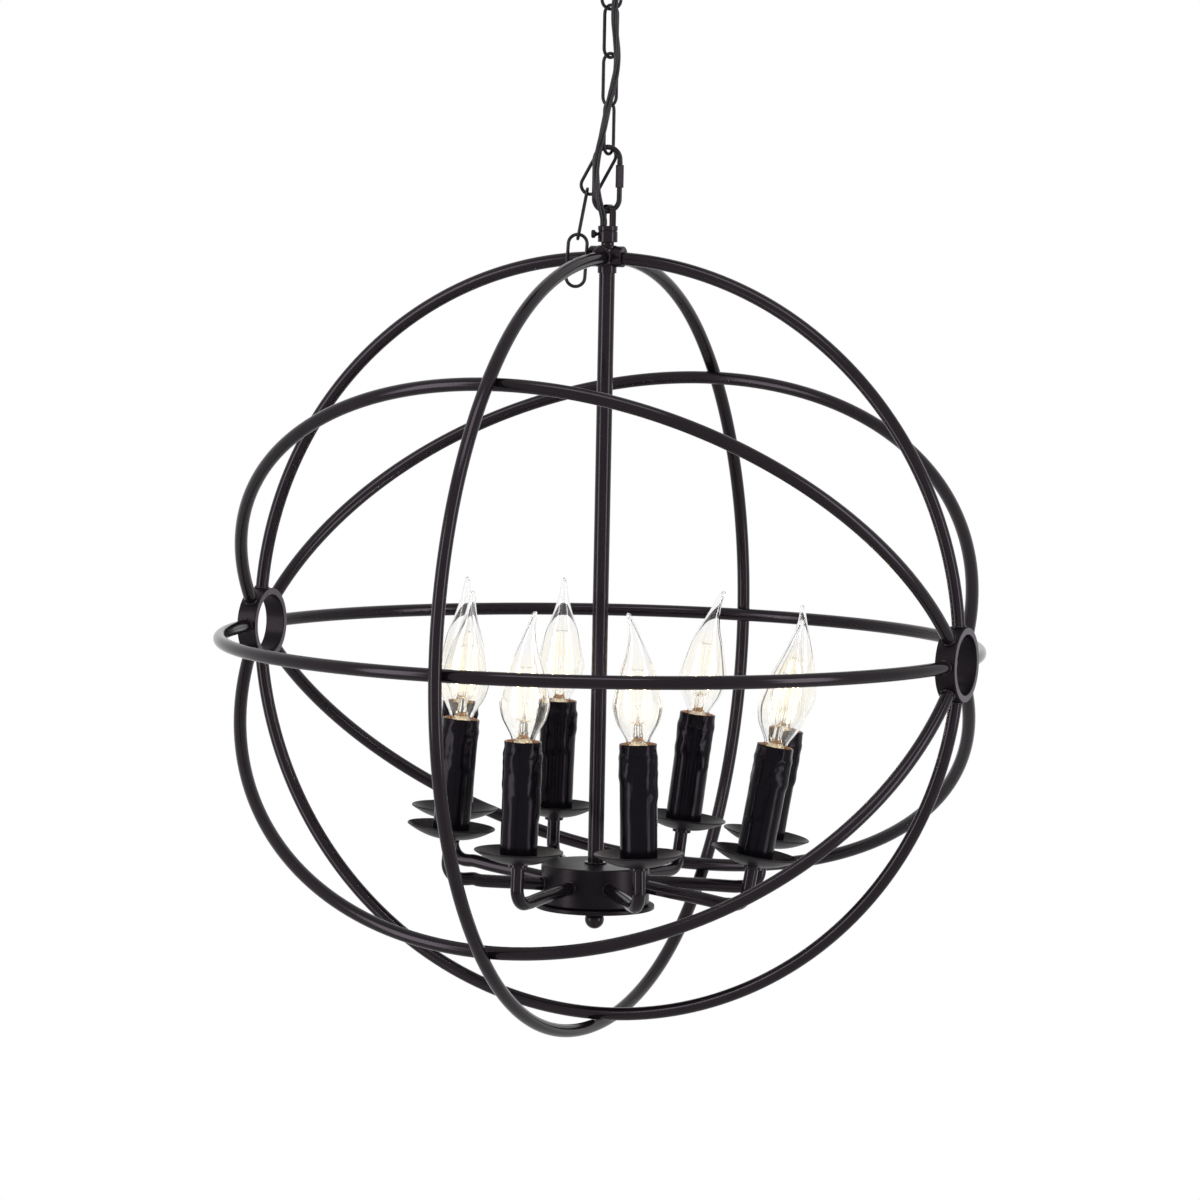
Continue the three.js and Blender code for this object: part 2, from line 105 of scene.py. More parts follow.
def feed(tree, node, inputs):
    # each input takes a value, or the socket that is linked to it; a plain colour gets its alpha here
    for key, value in inputs.items():
        if isinstance(value, bpy.types.NodeSocket):
            tree.links.new(value, node.inputs[key])
        else:
            colour = isinstance(value, tuple) and len(value) == 3
            node.inputs[key].default_value = value + (1,) if colour else value


def addNode(tree, kind, inputs=None, **settings):
    node = tree.nodes.new("ShaderNode" + kind)
    for key, value in settings.items():
        setattr(node, key, value)
    feed(tree, node, inputs or {})
    return node


def calculated(tree, operation, *values):
    return addNode(tree, "Math", dict(enumerate(values)), operation=operation).outputs[0]


def mixedColour(tree, factor, a, b):
    return addNode(tree, "Mix", {"Factor": factor, "A": a, "B": b}, data_type="RGBA").outputs["Result"]


def mixedShader(tree, factor, a, b):
    return addNode(tree, "MixShader", {0: factor, 1: a.outputs[0], 2: b.outputs[0]})


def coordinate(tree, kind="Object"):
    return addNode(tree, "TexCoord").outputs[kind]


def speckle(tree, scale, detail=2):
    inputs = {"Vector": coordinate(tree), "Scale": scale, "Detail": detail}
    return addNode(tree, "TexNoise", inputs).outputs["Fac"]


def ranged(tree, value, low, high, kind="LINEAR"):
    # from 0 to 1 between low and high
    inputs = {"Value": value, "From Min": low, "From Max": high}
    return addNode(tree, "MapRange", inputs, interpolation_type=kind).outputs[0]


def bumped(tree, height, strength, distance=0.0002):
    inputs = {"Height": height, "Strength": strength, "Distance": distance}
    return addNode(tree, "Bump", inputs).outputs["Normal"]


def newMaterial(name):
    material = bpy.data.materials.new(name)
    material.use_nodes = True
    return material, material.node_tree, material.node_tree.nodes["Principled BSDF"]


def showShader(tree, shader):
    feed(tree, tree.nodes["Material Output"], {"Surface": shader.outputs[0]})


def seenDirectly(tree):
    # 1 for rays that show the backdrop itself, also in metal and through glass
    rays = addNode(tree, "LightPath").outputs
    shown = calculated(tree, "MAXIMUM", rays["Is Camera Ray"], rays["Is Glossy Ray"])
    return calculated(tree, "MAXIMUM", shown, rays["Is Transmission Ray"])


studio = {
    "fill": 0.42,  # world light on the object
    "floor": -1.75,
    "floorHalf": 40,
    "floorColour": (0.93, 0.93, 0.93),
    "paleFrom": 1.4,  # from here outwards the floor fades into the white background
    "paleAt": 3.6,
    "lamps": [
        # name, place, width, height, watts
        ("leftStrip", (-2.0, -2.5, -0.2), 1.0, 3.0, 66),
        ("rightStrip", (3.2, -0.35, -0.2), 1.0, 3.0, 66),
        ("topSoft", (0.3, -1.6, 2.4), 2.0, 1.2, 42),
    ],
}


def buildWorld():
    scene.view_settings.view_transform = "Standard"
    scene.world = bpy.data.worlds.new("studio")
    scene.world.use_nodes = True
    tree = scene.world.node_tree
    tree.nodes.clear()
    fill = addNode(tree, "Background", {"Color": (studio["fill"],) * 3})
    white = addNode(tree, "Background", {"Color": (1, 1, 1)})
    shown = mixedShader(tree, seenDirectly(tree), fill, white)
    addNode(tree, "OutputWorld", {"Surface": shown.outputs[0]})


def buildLamps():
    for name, spot, width, height, watts in studio["lamps"]:
        data = bpy.data.lights.new(name, "AREA")
        data.shape, data.size, data.size_y, data.energy = "RECTANGLE", width, height, watts
        lamp = bpy.data.objects.new(name, data)
        lamp.location = spot
        toward = place["orbMiddle"] - Vector(spot)
        lamp.rotation_euler = toward.to_track_quat("-Z", "Y").to_euler()
        lamp.visible_camera = False
        scene.collection.objects.link(lamp)


def buildFloor():
    material, tree, surface = newMaterial("paleFloor")
    feed(tree, surface, {"Base Color": studio["floorColour"], "Roughness": 0.9, "Specular IOR Level": 0.1})
    away = addNode(tree, "VectorMath", {0: coordinate(tree)}, operation="LENGTH").outputs["Value"]
    fade = ranged(tree, away, studio["paleFrom"], studio["paleAt"], "SMOOTHSTEP")
    share = calculated(tree, "MULTIPLY", seenDirectly(tree), fade)
    pale = mixedShader(tree, share, surface, addNode(tree, "Emission"))
    # from below the floor is clear, so that the underside can be seen
    below = addNode(tree, "NewGeometry").outputs["Backfacing"]
    showShader(tree, mixedShader(tree, below, pale, addNode(tree, "BsdfTransparent")))
    mesh, half = bpy.data.meshes.new("floor"), studio["floorHalf"]
    corners = [(-half, -half, 0), (half, -half, 0), (half, half, 0), (-half, half, 0)]
    mesh.from_pydata(corners, [], [(0, 1, 2, 3)])
    mesh.materials.append(material)
    floor = bpy.data.objects.new("floor", mesh)
    floor.location.z = studio["floor"]
    scene.collection.objects.link(floor)


buildCamera()
buildWorld()
buildLamps()
buildFloor()
print("camera, floor and lamps set")


def newGroup(name, inputs, outputs):
    tree = bpy.data.node_groups.new(name, "ShaderNodeTree")
    for label, value in inputs.items():
        kind = "NodeSocketColor" if isinstance(value, tuple) else "NodeSocketFloat"
        socket = tree.interface.new_socket(name=label, in_out="INPUT", socket_type=kind)
        socket.default_value = value + (1,) if isinstance(value, tuple) else value
    for label in outputs:
        kind = "NodeSocketColor" if label == "Color" else "NodeSocketFloat"
        tree.interface.new_socket(name=label, in_out="OUTPUT", socket_type=kind)
    return tree, tree.nodes.new("NodeGroupInput").outputs, tree.nodes.new("NodeGroupOutput")


def addGroup(tree, group, inputs):
    return addNode(tree, "Group", inputs, node_tree=group).outputs


def buildPaintSkin():
    # sprayed paint: a cloudy second tone, uneven gloss and fine orange peel
    tree, given, out = newGroup("paintSkin", {
        "Color": (0.02, 0.02, 0.02), "Cloud Color": (0.03, 0.03, 0.03), "Cloud Scale": 40,
        "Roughness": 0.4, "Roughness Spread": 0.1, "Peel Scale": 900,
    }, ("Color", "Roughness", "Height"))
    cloud = speckle(tree, given["Cloud Scale"], 3)
    centred = calculated(tree, "SUBTRACT", cloud, 0.5)
    feed(tree, out, {
        "Color": mixedColour(tree, cloud, given["Color"], given["Cloud Color"]),
        "Roughness": calculated(tree, "MULTIPLY_ADD", centred, given["Roughness Spread"], given["Roughness"]),
        "Height": speckle(tree, given["Peel Scale"]),
    })
    return tree


def buildEdgeRub():
    # corners where the paint is thin show a little lighter
    tree, given, out = newGroup("edgeRub", {
        "Color": (0.02, 0.02, 0.02), "Rubbed Color": (0.1, 0.1, 0.1), "Amount": 0.4, "Patch Scale": 260,
    }, ("Color",))
    edge = ranged(tree, addNode(tree, "NewGeometry").outputs["Pointiness"], 0.53, 0.62)
    patchy = ranged(tree, speckle(tree, given["Patch Scale"]), 0.38, 0.66)
    share = calculated(tree, "MULTIPLY", calculated(tree, "MULTIPLY", edge, patchy), given["Amount"])
    feed(tree, out, {"Color": mixedColour(tree, share, given["Color"], given["Rubbed Color"])})
    return tree


def buildRimHighlight():
    # faces square to the side-to-side axis, the ends of the hub rings, get a lighter colour: a painted
    # highlight
    tree, given, out = newGroup(
        "rimHighlight", {"Color": (0.02, 0.02, 0.02), "Highlight Color": (0.05, 0.05, 0.05)}, ("Color",),
    )
    axes = addNode(tree, "SeparateXYZ", {"Vector": coordinate(tree, "Normal")}).outputs
    mask = ranged(tree, calculated(tree, "ABSOLUTE", axes["X"]), 0.8, 0.97)
    feed(tree, out, {"Color": mixedColour(tree, mask, given["Color"], given["Highlight Color"])})
    return tree


def buildHeightBand():
    # 1 inside a band of heights, with soft ends
    tree, given, out = newGroup("heightBand", {"Low": 0, "High": 1, "Soft": 0.01}, ("Mask",))
    height = addNode(tree, "SeparateXYZ", {0: coordinate(tree)}).outputs["Z"]
    ends = []
    for edge, first, second in (("Low", "SUBTRACT", "ADD"), ("High", "ADD", "SUBTRACT")):
        before = calculated(tree, first, given[edge], given["Soft"])
        after = calculated(tree, second, given[edge], given["Soft"])
        ends.append(ranged(tree, height, before, after, "SMOOTHSTEP"))
    feed(tree, out, {"Mask": calculated(tree, "MULTIPLY", *ends)})
    return tree


paintSkin, edgeRub, rimHighlight, heightBand = buildPaintSkin(), buildEdgeRub(), buildRimHighlight(), buildHeightBand()


def paintedMaterial(name, look):
    material, tree, surface = newMaterial(name)
    skin = addGroup(tree, paintSkin, {
        "Color": look["colour"], "Cloud Color": look["cloud"], "Cloud Scale": look["cloudScale"],
        "Roughness": look["roughness"], "Roughness Spread": look["spread"], "Peel Scale": look["peelScale"],
    })
    rub = {"Color": skin["Color"], "Rubbed Color": look["rubbed"], "Amount": look["rub"]}
    colour = addGroup(tree, edgeRub, rub)["Color"]
    # a painted highlight: a lighter colour on faces that face sideways
    if "rimHighlight" in look:
        colour = addGroup(tree, rimHighlight, {"Color": colour, "Highlight Color": look["rimHighlight"]})["Color"]
    feed(tree, surface, {
        "Base Color": colour, "Roughness": skin["Roughness"],
        "Normal": bumped(tree, skin["Height"], look["peel"]),
        "Metallic": look["metallic"], "Specular IOR Level": look["shine"], "Specular Tint": look["tint"],
    })
    return material


paint = {"rubbed": (0.05, 0.045, 0.048), "rub": 0.3, "metallic": 0.0, "tint": (1, 0.87, 1)}
satin = paint | {
    "colour": (0.0036, 0.0028, 0.0036), "cloud": (0.0068, 0.0052, 0.0065), "cloudScale": 40,
    "roughness": 0.34, "spread": 0.1, "peelScale": 700, "peel": 0.08, "shine": 0.11,
}
blackPaint = paintedMaterial("blackPaint", paint | {
    "colour": (0.0045, 0.0033, 0.0043), "cloud": (0.0085, 0.0063, 0.0078), "cloudScale": 55,
    "roughness": 0.15, "spread": 0.09, "peelScale": 850, "peel": 0.06, "shine": 0.18,
})
satinPaint = paintedMaterial("satinPaint", satin)
# the ring ends of the side hubs get a painted highlight
hubPaint = paintedMaterial("hubPaint", satin | {"rimHighlight": (0.075, 0.062, 0.078)})
wireBlack = paintedMaterial("wireBlack", {
    "colour": (0.006, 0.0048, 0.006), "cloud": (0.0115, 0.0095, 0.011), "cloudScale": 180,
    "roughness": 0.22, "spread": 0.12, "peelScale": 1100, "peel": 0.08,
    "rubbed": (0.05, 0.046, 0.048), "rub": 0.2, "metallic": 0.0, "shine": 0.2, "tint": (1, 0.9, 1),
})
candleBlack = paintedMaterial("candleBlack", {
    "colour": (0.0024, 0.002, 0.003), "cloud": (0.0042, 0.0036, 0.005), "cloudScale": 90,
    "roughness": 0.18, "spread": 0.08, "peelScale": 300, "peel": 0.05,
    "rubbed": (0.01, 0.009, 0.011), "rub": 0.15, "metallic": 0.0, "shine": 0.08, "tint": (0.95, 0.82, 1),
})
cableBlack = paintedMaterial("cableBlack", {
    "colour": (0.011, 0.01, 0.012), "cloud": (0.018, 0.0165, 0.019), "cloudScale": 120,
    "roughness": 0.34, "spread": 0.12, "peelScale": 2200, "peel": 0.15,
    "rubbed": (0.04, 0.04, 0.042), "rub": 0.1, "metallic": 0.0, "shine": 0.22, "tint": (1, 0.95, 1),
})
bareMetal = {"metallic": 1.0, "shine": 0.5, "tint": (1, 1, 1)}
zincSteel = paintedMaterial("zincSteel", bareMetal | {
    "colour": (0.5, 0.5, 0.49), "cloud": (0.62, 0.62, 0.6), "cloudScale": 210,
    "roughness": 0.36, "spread": 0.22, "peelScale": 1300, "peel": 0.3,
    "rubbed": (0.75, 0.75, 0.73), "rub": 0.5,
})
capMetal = paintedMaterial("capMetal", bareMetal | {
    "colour": (0.6, 0.5, 0.33), "cloud": (0.7, 0.6, 0.42), "cloudScale": 260,
    "roughness": 0.27, "spread": 0.14, "peelScale": 1700, "peel": 0.12,
    "rubbed": (0.82, 0.72, 0.52), "rub": 0.3,
})


def plainMaterial(name, colour, roughness, glow=None):
    material, tree, surface = newMaterial(name)
    grain = speckle(tree, 500)
    dark, light = tuple(0.8 * c for c in colour), tuple(min(1, 1.15 * c) for c in colour)
    feed(tree, surface, {
        "Base Color": mixedColour(tree, grain, dark, light), "Roughness": roughness,
        "Normal": bumped(tree, grain, 0.2),
    })
    if glow:
        feed(tree, surface, {"Emission Color": glow["colour"], "Emission Strength": glow["strength"]})
    return material


def glassMaterial(name, colour, roughness):
    # clear, with a painted glow: warmer in the band of heights where the filaments shine behind it
    material, tree, surface = newMaterial(name)
    low, high = filamentGlowTint["heights"]
    band = addGroup(tree, heightBand, {"Low": low, "High": high, "Soft": filamentGlowTint["soft"]})["Mask"]
    ripple = speckle(tree, 70, 1)
    feed(tree, surface, {
        "Base Color": mixedColour(tree, band, colour, filamentGlowTint["colour"]),
        "Roughness": roughness, "IOR": 1.45, "Transmission Weight": 1,
        "Normal": bumped(tree, ripple, 0.025, 0.0003),
    })
    # lamps shine through it
    shadow = addNode(tree, "LightPath").outputs["Is Shadow Ray"]
    showShader(tree, mixedShader(tree, shadow, surface, addNode(tree, "BsdfTransparent")))
    return material


# the painted glow of the filaments on the glass: a warmer colour in a band of heights
filamentGlowTint = {"colour": (0.985, 0.972, 0.935), "heights": (-0.594, -0.548), "soft": 0.012}
bulbGlass = glassMaterial("bulbGlass", (0.968, 0.968, 0.966), 0.0)
mountGlass = glassMaterial("mountGlass", (0.98, 0.93, 0.86), 0.03)
holderBrown = plainMaterial("holderBrown", (0.03, 0.016, 0.01), 0.4)
# a painted glow: a faint emission standing in for the filaments' light on the holder tops and the sleeve
# mouths
paintedGlow = plainMaterial("paintedGlow", (0.07, 0.032, 0.014), 0.45, {"colour": (0.6, 0.25, 0.09), "strength": 0.24})


def filamentMaterial():
    # white hot in the middle and amber towards its edges
    material, tree, surface = newMaterial("litFilament")
    edge = ranged(tree, addNode(tree, "LayerWeight").outputs["Facing"], 0.03, 0.2)
    feed(tree, surface, {
        "Base Color": mixedColour(tree, speckle(tree, 900), (0.9, 0.62, 0.25), (0.95, 0.75, 0.4)),
        "Roughness": 0.6,
        "Emission Color": mixedColour(tree, edge, (1, 0.93, 0.74), (0.11, 0.055, 0.014)),
        "Emission Strength": 8,
    })
    return material


litFilament = filamentMaterial()
print("materials made")


def direction(path, i, closed):
    count = len(path)
    before = path[i - 1] if i or closed else path[i]
    after = path[(i + 1) % count] if i + 1 < count or closed else path[i]
    return (after - before).normalized()


def sweep(path, outline, closed=False, sizes=None, start=None):
    # carries an outline along a path without twisting it
    path = [Vector(p) for p in path]
    along = [direction(path, i, closed) for i in range(len(path))]
    side = Vector(start) if start else along[0].orthogonal()
    side = (side - along[0] * side.dot(along[0])).normalized()
    sides = [side]
    for i in range(1, len(path)):
        side = along[i - 1].rotation_difference(along[i]) @ side
        sides.append(side)
    slip = 0
    if closed:
        last = along[-1].rotation_difference(along[0]) @ side
        slip = atan2(along[0].cross(sides[0]).dot(last), sides[0].dot(last))
    verts, faces, n = [], [], len(outline)
    for i, middle in enumerate(path):
        turn = Matrix.Rotation(-slip * i / len(path), 3, along[i])
        across = turn @ sides[i]
        up = along[i].cross(across)
        size = sizes[i] if sizes else 1
        verts += [middle + (across * a + up * b) * size for a, b in outline]
    rings = len(path)
    for i in range(rings if closed else rings - 1):
        a, b = i * n, (i + 1) % rings * n
        faces += [(a + k, a + (k + 1) % n, b + (k + 1) % n, b + k) for k in range(n)]
    if not closed:
        faces += [tuple(range(n))[::-1], tuple(range((rings - 1) * n, rings * n))]
    return verts, faces


def circle(radius, sides=20):
    return [(radius * cos(tau * i / sides), radius * sin(tau * i / sides)) for i in range(sides)]


def rounded(outline, radius, closed=False, steps=4):
    # the outline with its corners rounded off
    count, result = len(outline), []
    for i, (x, y) in enumerate(outline):
        if not closed and i in (0, count - 1):
            result.append((x, y))
            continue
        corner = Vector((x, y))
        before, after = Vector(outline[i - 1]) - corner, Vector(outline[(i + 1) % count]) - corner
        if before.angle(after, pi) > radians(165):
            result.append((x, y))
            continue
        start = corner + before.normalized() * min(radius, 0.45 * before.length)
        end = corner + after.normalized() * min(radius, 0.45 * after.length)
        for step in range(steps + 1):
            t = step / steps
            spot = start * (1 - t) ** 2 + corner * 2 * t * (1 - t) + end * t * t
            result.append((spot.x, spot.y))
    return result


def turned(outline, sides=64, closed=False, wave=None):
    # outline: (radius, height) in millimetres; wave(turn, height) adds to the radius
    verts, faces, rings = [], [], []
    for radius, height in outline:
        if radius < 1e-6:
            rings.append([len(verts)] * sides)
            verts.append(upward(height))
            continue
        rings.append(list(range(len(verts), len(verts) + sides)))
        for k in range(sides):
            turn = tau * k / sides
            wide = radius + (wave(turn, height) if wave else 0)
            verts.append(polar(wide, turn, height) * mm)
    last = len(rings) if closed else len(rings) - 1
    for i in range(last):
        a, b = rings[i], rings[(i + 1) % len(rings)]
        for k in range(sides):
            j = (k + 1) % sides
            face = [a[k], a[j], b[j], b[k]]
            face = [v for n, v in enumerate(face) if v not in face[:n]]
            if len(face) > 2:
                faces.append(tuple(face))
    return verts, faces


def lathed(outline, radius, sides=64, closed=False, steps=4, wave=None):
    # turned from an outline with its corners rounded off
    return turned(rounded(outline, radius, closed, steps), sides, closed, wave)


def ringShape(outer, inner, low, high, radius, sides=64):
    outline = [(inner, low), (outer, low), (outer, high), (inner, high)]
    return lathed(outline, radius, sides, closed=True)


def threaded(radius, depth, pitch, low, high, sides=32, per=8):
    # a rod with a screw thread
    steps = max(4, int((high - low) / pitch * per))
    outline = [(0, low), (radius - depth, low)]
    outline += [(radius - depth, low + (high - low) * i / steps) for i in range(1, steps)]
    outline += [(radius - depth, high), (0, high)]

    def wave(turn, height):
        phase = (height / pitch - turn / tau) % 1
        fade = min(1, (height - low) / (0.5 * pitch), (high - height) / (0.5 * pitch))
        return depth * (1 - abs(2 * phase - 1)) * max(0, fade)

    return turned(outline, sides, wave=wave)


def hexNut(across, hole, low, high, sides=72):
    # chamfered at both ends; across is its width over the flats
    flat, verts, faces = across / 2, [], []
    for k in range(sides):
        turn = tau * k / sides
        edge = flat / cos((turn + pi / 6) % (pi / 3) - pi / 6)
        drop = 0.2 + (edge - flat) * 0.75
        column = [
            (hole + 0.3, low), (flat - 0.15, low), (edge, low + drop), (edge, high - drop),
            (flat - 0.15, high), (hole + 0.3, high), (hole, high - 0.3), (hole, low + 0.3),
        ]
        verts += [polar(r, turn, z) * mm for r, z in column]
    n = 8
    for k in range(sides):
        a, b = k * n, (k + 1) % sides * n
        faces += [(a + i, b + i, b + (i + 1) % n, a + (i + 1) % n) for i in range(n)]
    return verts, faces


def moved(shape, spot):
    verts, faces = shape
    return [spot @ Vector(v) for v in verts], faces


def joined(*shapes):
    verts, faces = [], []
    for more, around in shapes:
        start = len(verts)
        verts += more
        faces += [tuple(start + i for i in face) for face in around]
    return verts, faces


def smoothPath(points, per=8):
    points = [Vector(p) for p in points]
    last, path = len(points) - 1, []
    for i in range(last):
        a, b, c, d = points[max(i - 1, 0)], points[i], points[i + 1], points[min(i + 2, last)]
        for step in range(per):
            t = step / per
            path.append(0.5 * (
                2 * b + (c - a) * t + (2 * a - 5 * b + 4 * c - d) * t**2 + (3 * b - a - 3 * c + d) * t**3
            ))
    return path + [points[-1]]


slots = {
    blackPaint: "black_paint", satinPaint: "black_paint", hubPaint: "black_paint", wireBlack: "wire_black",
    candleBlack: "candle_black", holderBrown: "candle_black", cableBlack: "cable_black",
    zincSteel: "zinc_steel", capMetal: "cap_metal", litFilament: "filament",
    bulbGlass: "bulb_glass", mountGlass: "bulb_glass",
}


def addPiece(name, shape, material, body, nodes=(), slot=None, sharp=35, even=True):
    # nodes: the solids that the piece stands for; slot: not used
    verts, faces = shape
    mesh = bpy.data.meshes.new(name)
    mesh.from_pydata([tuple(v) for v in verts], [], faces)
    form = bmesh.new()
    form.from_mesh(mesh)
    bmesh.ops.recalc_face_normals(form, faces=form.faces)
    form.to_mesh(mesh)
    form.free()
    mesh.polygons.foreach_set("use_smooth", [True] * len(mesh.polygons))
    mesh.set_sharp_from_angle(angle=radians(sharp))
    mesh.materials.append(material)
    piece = bpy.data.objects.new(name, mesh)
    scene.collection.objects.link(piece)
    if even:
        piece.modifiers.new("evenShading", "WEIGHTED_NORMAL").keep_sharp = True
    if nodes:
        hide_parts(*nodes)
    slot or slots[material]
    if body:
        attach(piece, body)
    return piece


# Supply cable: three thin flexes that run down the chain side by side, in one piece for each hinge
cable = {
    "diameter": 0.0054,
    "flex": 1.3,
    "spread": 1.4,
    "twist": 150,  # millimetres for one turn
    "bendHalf": 0.011,  # how far over and under a hinge it bends
    "cuts": [-0.0700, -0.1391, -0.2105],
    "joints": [-0.0549, -0.0888, -0.19245, -0.2335],
    "bodies": ["ceiling", "link_1", "lower_links", "quick", "lamp"],
    "route": [
        (14, -8.2, 511.7), (14, -8.2, 502), (12.6, -8.1, 492), (9, -7.7, 482), (4.6, -7.2, 473),
        (1.8, -7.4, 463.5), (1.9, -8.2, 450), (3.4, -9, 437), (4.2, -9.7, 424.6), (3.6, -10, 414),
        (2.2, -10.1, 404.5), (0.3, -10.2, 394.5), (-1.8, -10.3, 385), (-4, -10.2, 375),
        (-6, -9.8, 366), (-7.6, -8.6, 357), (-8.7, -7, 347.5), (-8.9, -6, 337), (-8.1, -5.8, 326),
        (-6.2, -5.9, 317), (-4.1, -5, 310), (-3.2, -3.6, 305.5), (-3.1, -3.3, 302.5),
    ],
}


def flexOutline(sides=36):
    # three round flexes side by side, as one outline
    outline = []
    for i in range(sides):
        turn = tau * i / sides
        off = (turn + pi / 3) % (tau / 3) - pi / 3
        reach = cable["spread"] * cos(off)
        reach += sqrt(max(0.05, cable["flex"] ** 2 - (cable["spread"] * sin(off)) ** 2))
        outline.append((reach * mm * cos(turn), reach * mm * sin(turn)))
    return outline


def twistedSweep(path, outline, startTurn):
    verts, faces = sweep(path, outline, start=fromFront(1, 0, 0))
    n, travelled = len(outline), 0
    for i, middle in enumerate(path):
        if i:
            travelled += (path[i] - path[i - 1]).length
        axis = direction(path, i, False)
        turn = Matrix.Rotation(startTurn + tau * travelled / (cable["twist"] * mm), 3, axis)
        for k in range(i * n, (i + 1) * n):
            verts[k] = middle + turn @ (verts[k] - middle)
    return (verts, faces), startTurn + tau * travelled / (cable["twist"] * mm)


def buildCable():
    path = smoothPath([overOrb(*spot) for spot in cable["route"]], per=6)
    start, turn = 0, 0
    ends = [min(range(len(path)), key=lambda i: abs(path[i].z - z)) for z in cable["cuts"]] + [len(path) - 1]
    for k, end in enumerate(ends):
        line = path[start:end + 1]
        shape, turn = twistedSweep(line, flexOutline(), turn)
        piece = addPiece(f"supply_cable_{k + 1}", shape, cableBlack, None, ["supply_cable"], even=False)
        z = cable["joints"][k]
        spot = min(line, key=lambda p: abs(p.z - z))
        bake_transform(piece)
        length = sum((b - a).length for a, b in zip(line, line[1:]))
        tuple(line[0])
        [tuple(p) for p in line]
        start = end


buildCable()
print("supply cable laid")


# Cage of hoops, in metres from the middle of the orb
cage = {
    "radius": 0.275,
    "tube": 0.00475,
    "tilts": {"level": (0, 0), "rising": (42.5, 47), "falling": (-42.5, -45)},  # back and front halves
    "uprightRise": 0.004,
    "outerRadius": 0.2848,
    "outerTop": 0.2791,
    "outerBottom": 0.2807,
    "easeFrom": 50,
    "step": 1.5,  # degrees
    "intoHub": 0.0245,
    "intoTop": 0.0115,
    "hub": {"radius": 26.5, "wall": 5, "length": 15, "x": 0.2736},
    "bead": 0.0009,
    "welds": [0, 47.5, 90, 132.5, 180, 223, 270, 315],  # degrees round a side hub, from its top
}


def hoopArc(at, low, high):
    steps = max(2, round(abs(high - low) / cage["step"]))
    path = [at(radians(low + (high - low) * i / steps)) for i in range(steps + 1)]
    return sweep([place["orbMiddle"] + p for p in path], circle(cage["tube"], 28))


def levelPoint(turn, tilt=0):
    return Matrix.Rotation(radians(tilt), 3, "X") @ polar(cage["radius"], turn)


def uprightPoint(turn):
    r = cage["radius"]
    return Vector((r * cos(turn), 0, cage["uprightRise"] + r * sin(turn)))


def outerPoint(turn):
    rise = sin(turn)
    past = max(0, abs(degrees(asin(rise))) - cage["easeFrom"])
    drawn = cage["outerRadius"] - (cage["outerTop"] if rise > 0 else cage["outerBottom"])
    r = cage["outerRadius"] - drawn * eased(past / (90 - cage["easeFrom"]))
    return Vector((0, r * cos(turn), r * rise))


def weldBead(at, along, radius, thick, seed):
    # an uneven ring of weld round a tube
    side = along.orthogonal().normalized()
    up = along.cross(side)
    path, sizes = [], []
    for i in range(40):
        turn = tau * i / 40
        lump = noise.noise(polar(2.2, turn, seed * 3.1))
        path.append(at + (side * cos(turn) + up * sin(turn)) * radius)
        sizes.append(1 + 0.35 * lump)
    return sweep(path, circle(thick, 8), closed=True, sizes=sizes)


def buildCage():
    start = degrees(asin(cage["intoHub"] / cage["radius"]))
    for name, (back, front) in cage["tilts"].items():
        for half, side, tilt in (("back", 1, back), ("front", -1, front)):
            node = f"{name}_hoop_{half}"
            shape = hoopArc(lambda turn: levelPoint(turn, tilt), side * start, side * (180 - start))
            addPiece(node + "_tube", shape, blackPaint, "lamp", [node], sharp=60)
    low = degrees(asin((cage["intoHub"] - cage["uprightRise"]) / cage["radius"]))
    under = -degrees(asin((cage["intoHub"] + cage["uprightRise"]) / cage["radius"]))
    top = degrees(acos(cage["intoTop"] / cage["radius"]))
    for node, a, b in (
        ("upright_hoop_right", low, top), ("upright_hoop_left", 180 - low, 180 - top),
        ("upright_hoop_lower", under, -180 - under),
    ):
        addPiece(node + "_tube", hoopArc(uprightPoint, a, b), blackPaint, "lamp", [node], sharp=60)
    begin = degrees(acos(cage["intoTop"] / cage["outerTop"]))
    outer = hoopArc(outerPoint, begin, -180 - begin)
    addPiece("outer_hoop_tube", outer, blackPaint, "lamp", ["outer_hoop"], sharp=60)

    hub = cage["hub"]
    half = hub["length"] / 2
    tube = ringShape(hub["radius"], hub["radius"] - hub["wall"], -half, half, 0.7, 96)
    for name, side in (("right", 1), ("left", -1)):
        spot = Matrix.Translation(place["orbMiddle"] + Vector((side * hub["x"], 0, 0)))
        spot = spot @ Matrix.Rotation(pi / 2, 4, "Y")
        addPiece(f"side_hub_{name}_ring", moved(tube, spot), hubPaint, "lamp", [f"side_hub_{name}"])
        beads = []
        for k, turn in enumerate(radians(weld) for weld in cage["welds"]):
            out = Vector((0, sin(turn), cos(turn)))
            reach = hub["radius"] * mm + 0.0002
            x = sqrt(cage["radius"] ** 2 - reach**2)
            if k in (0, 4):
                x = sqrt(cage["radius"] ** 2 - (reach - cos(turn) * cage["uprightRise"]) ** 2)
            at = place["orbMiddle"] + Vector((side * x, 0, 0)) + out * reach
            lean = Vector((-side * reach / x, 0, 0)) + out
            beads.append(weldBead(at, lean.normalized(), cage["tube"], cage["bead"], k + 10 * side))
        addPiece(f"side_hub_{name}_welds", joined(*beads), blackPaint, "lamp", sharp=80)


buildCage()
print("cage built")


# Fitting on top of the cage, heights in millimetres over the middle of the orb
topHub = {
    "z": 280, "reach": 13, "socket": 7.6, "bore": 4.85, "column": 6.5, "low": 272, "high": 288,
    "collar": 6.85, "collarLow": 268, "neck": 4.7, "neckHigh": 290,
}
grip = {"radius": 7.15, "low": 290.3, "high": 302, "groove": 298.2}
eye = {"width": 13, "thick": 2.1, "wide": 5.0, "under": 315.2, "wire": 2.6, "turn": -50}
thumbScrew = {"z": 296, "shaft": 0.95, "knob": 2.85, "tip": 2.6, "end": 12, "head": 3.6, "neck": 1.5}


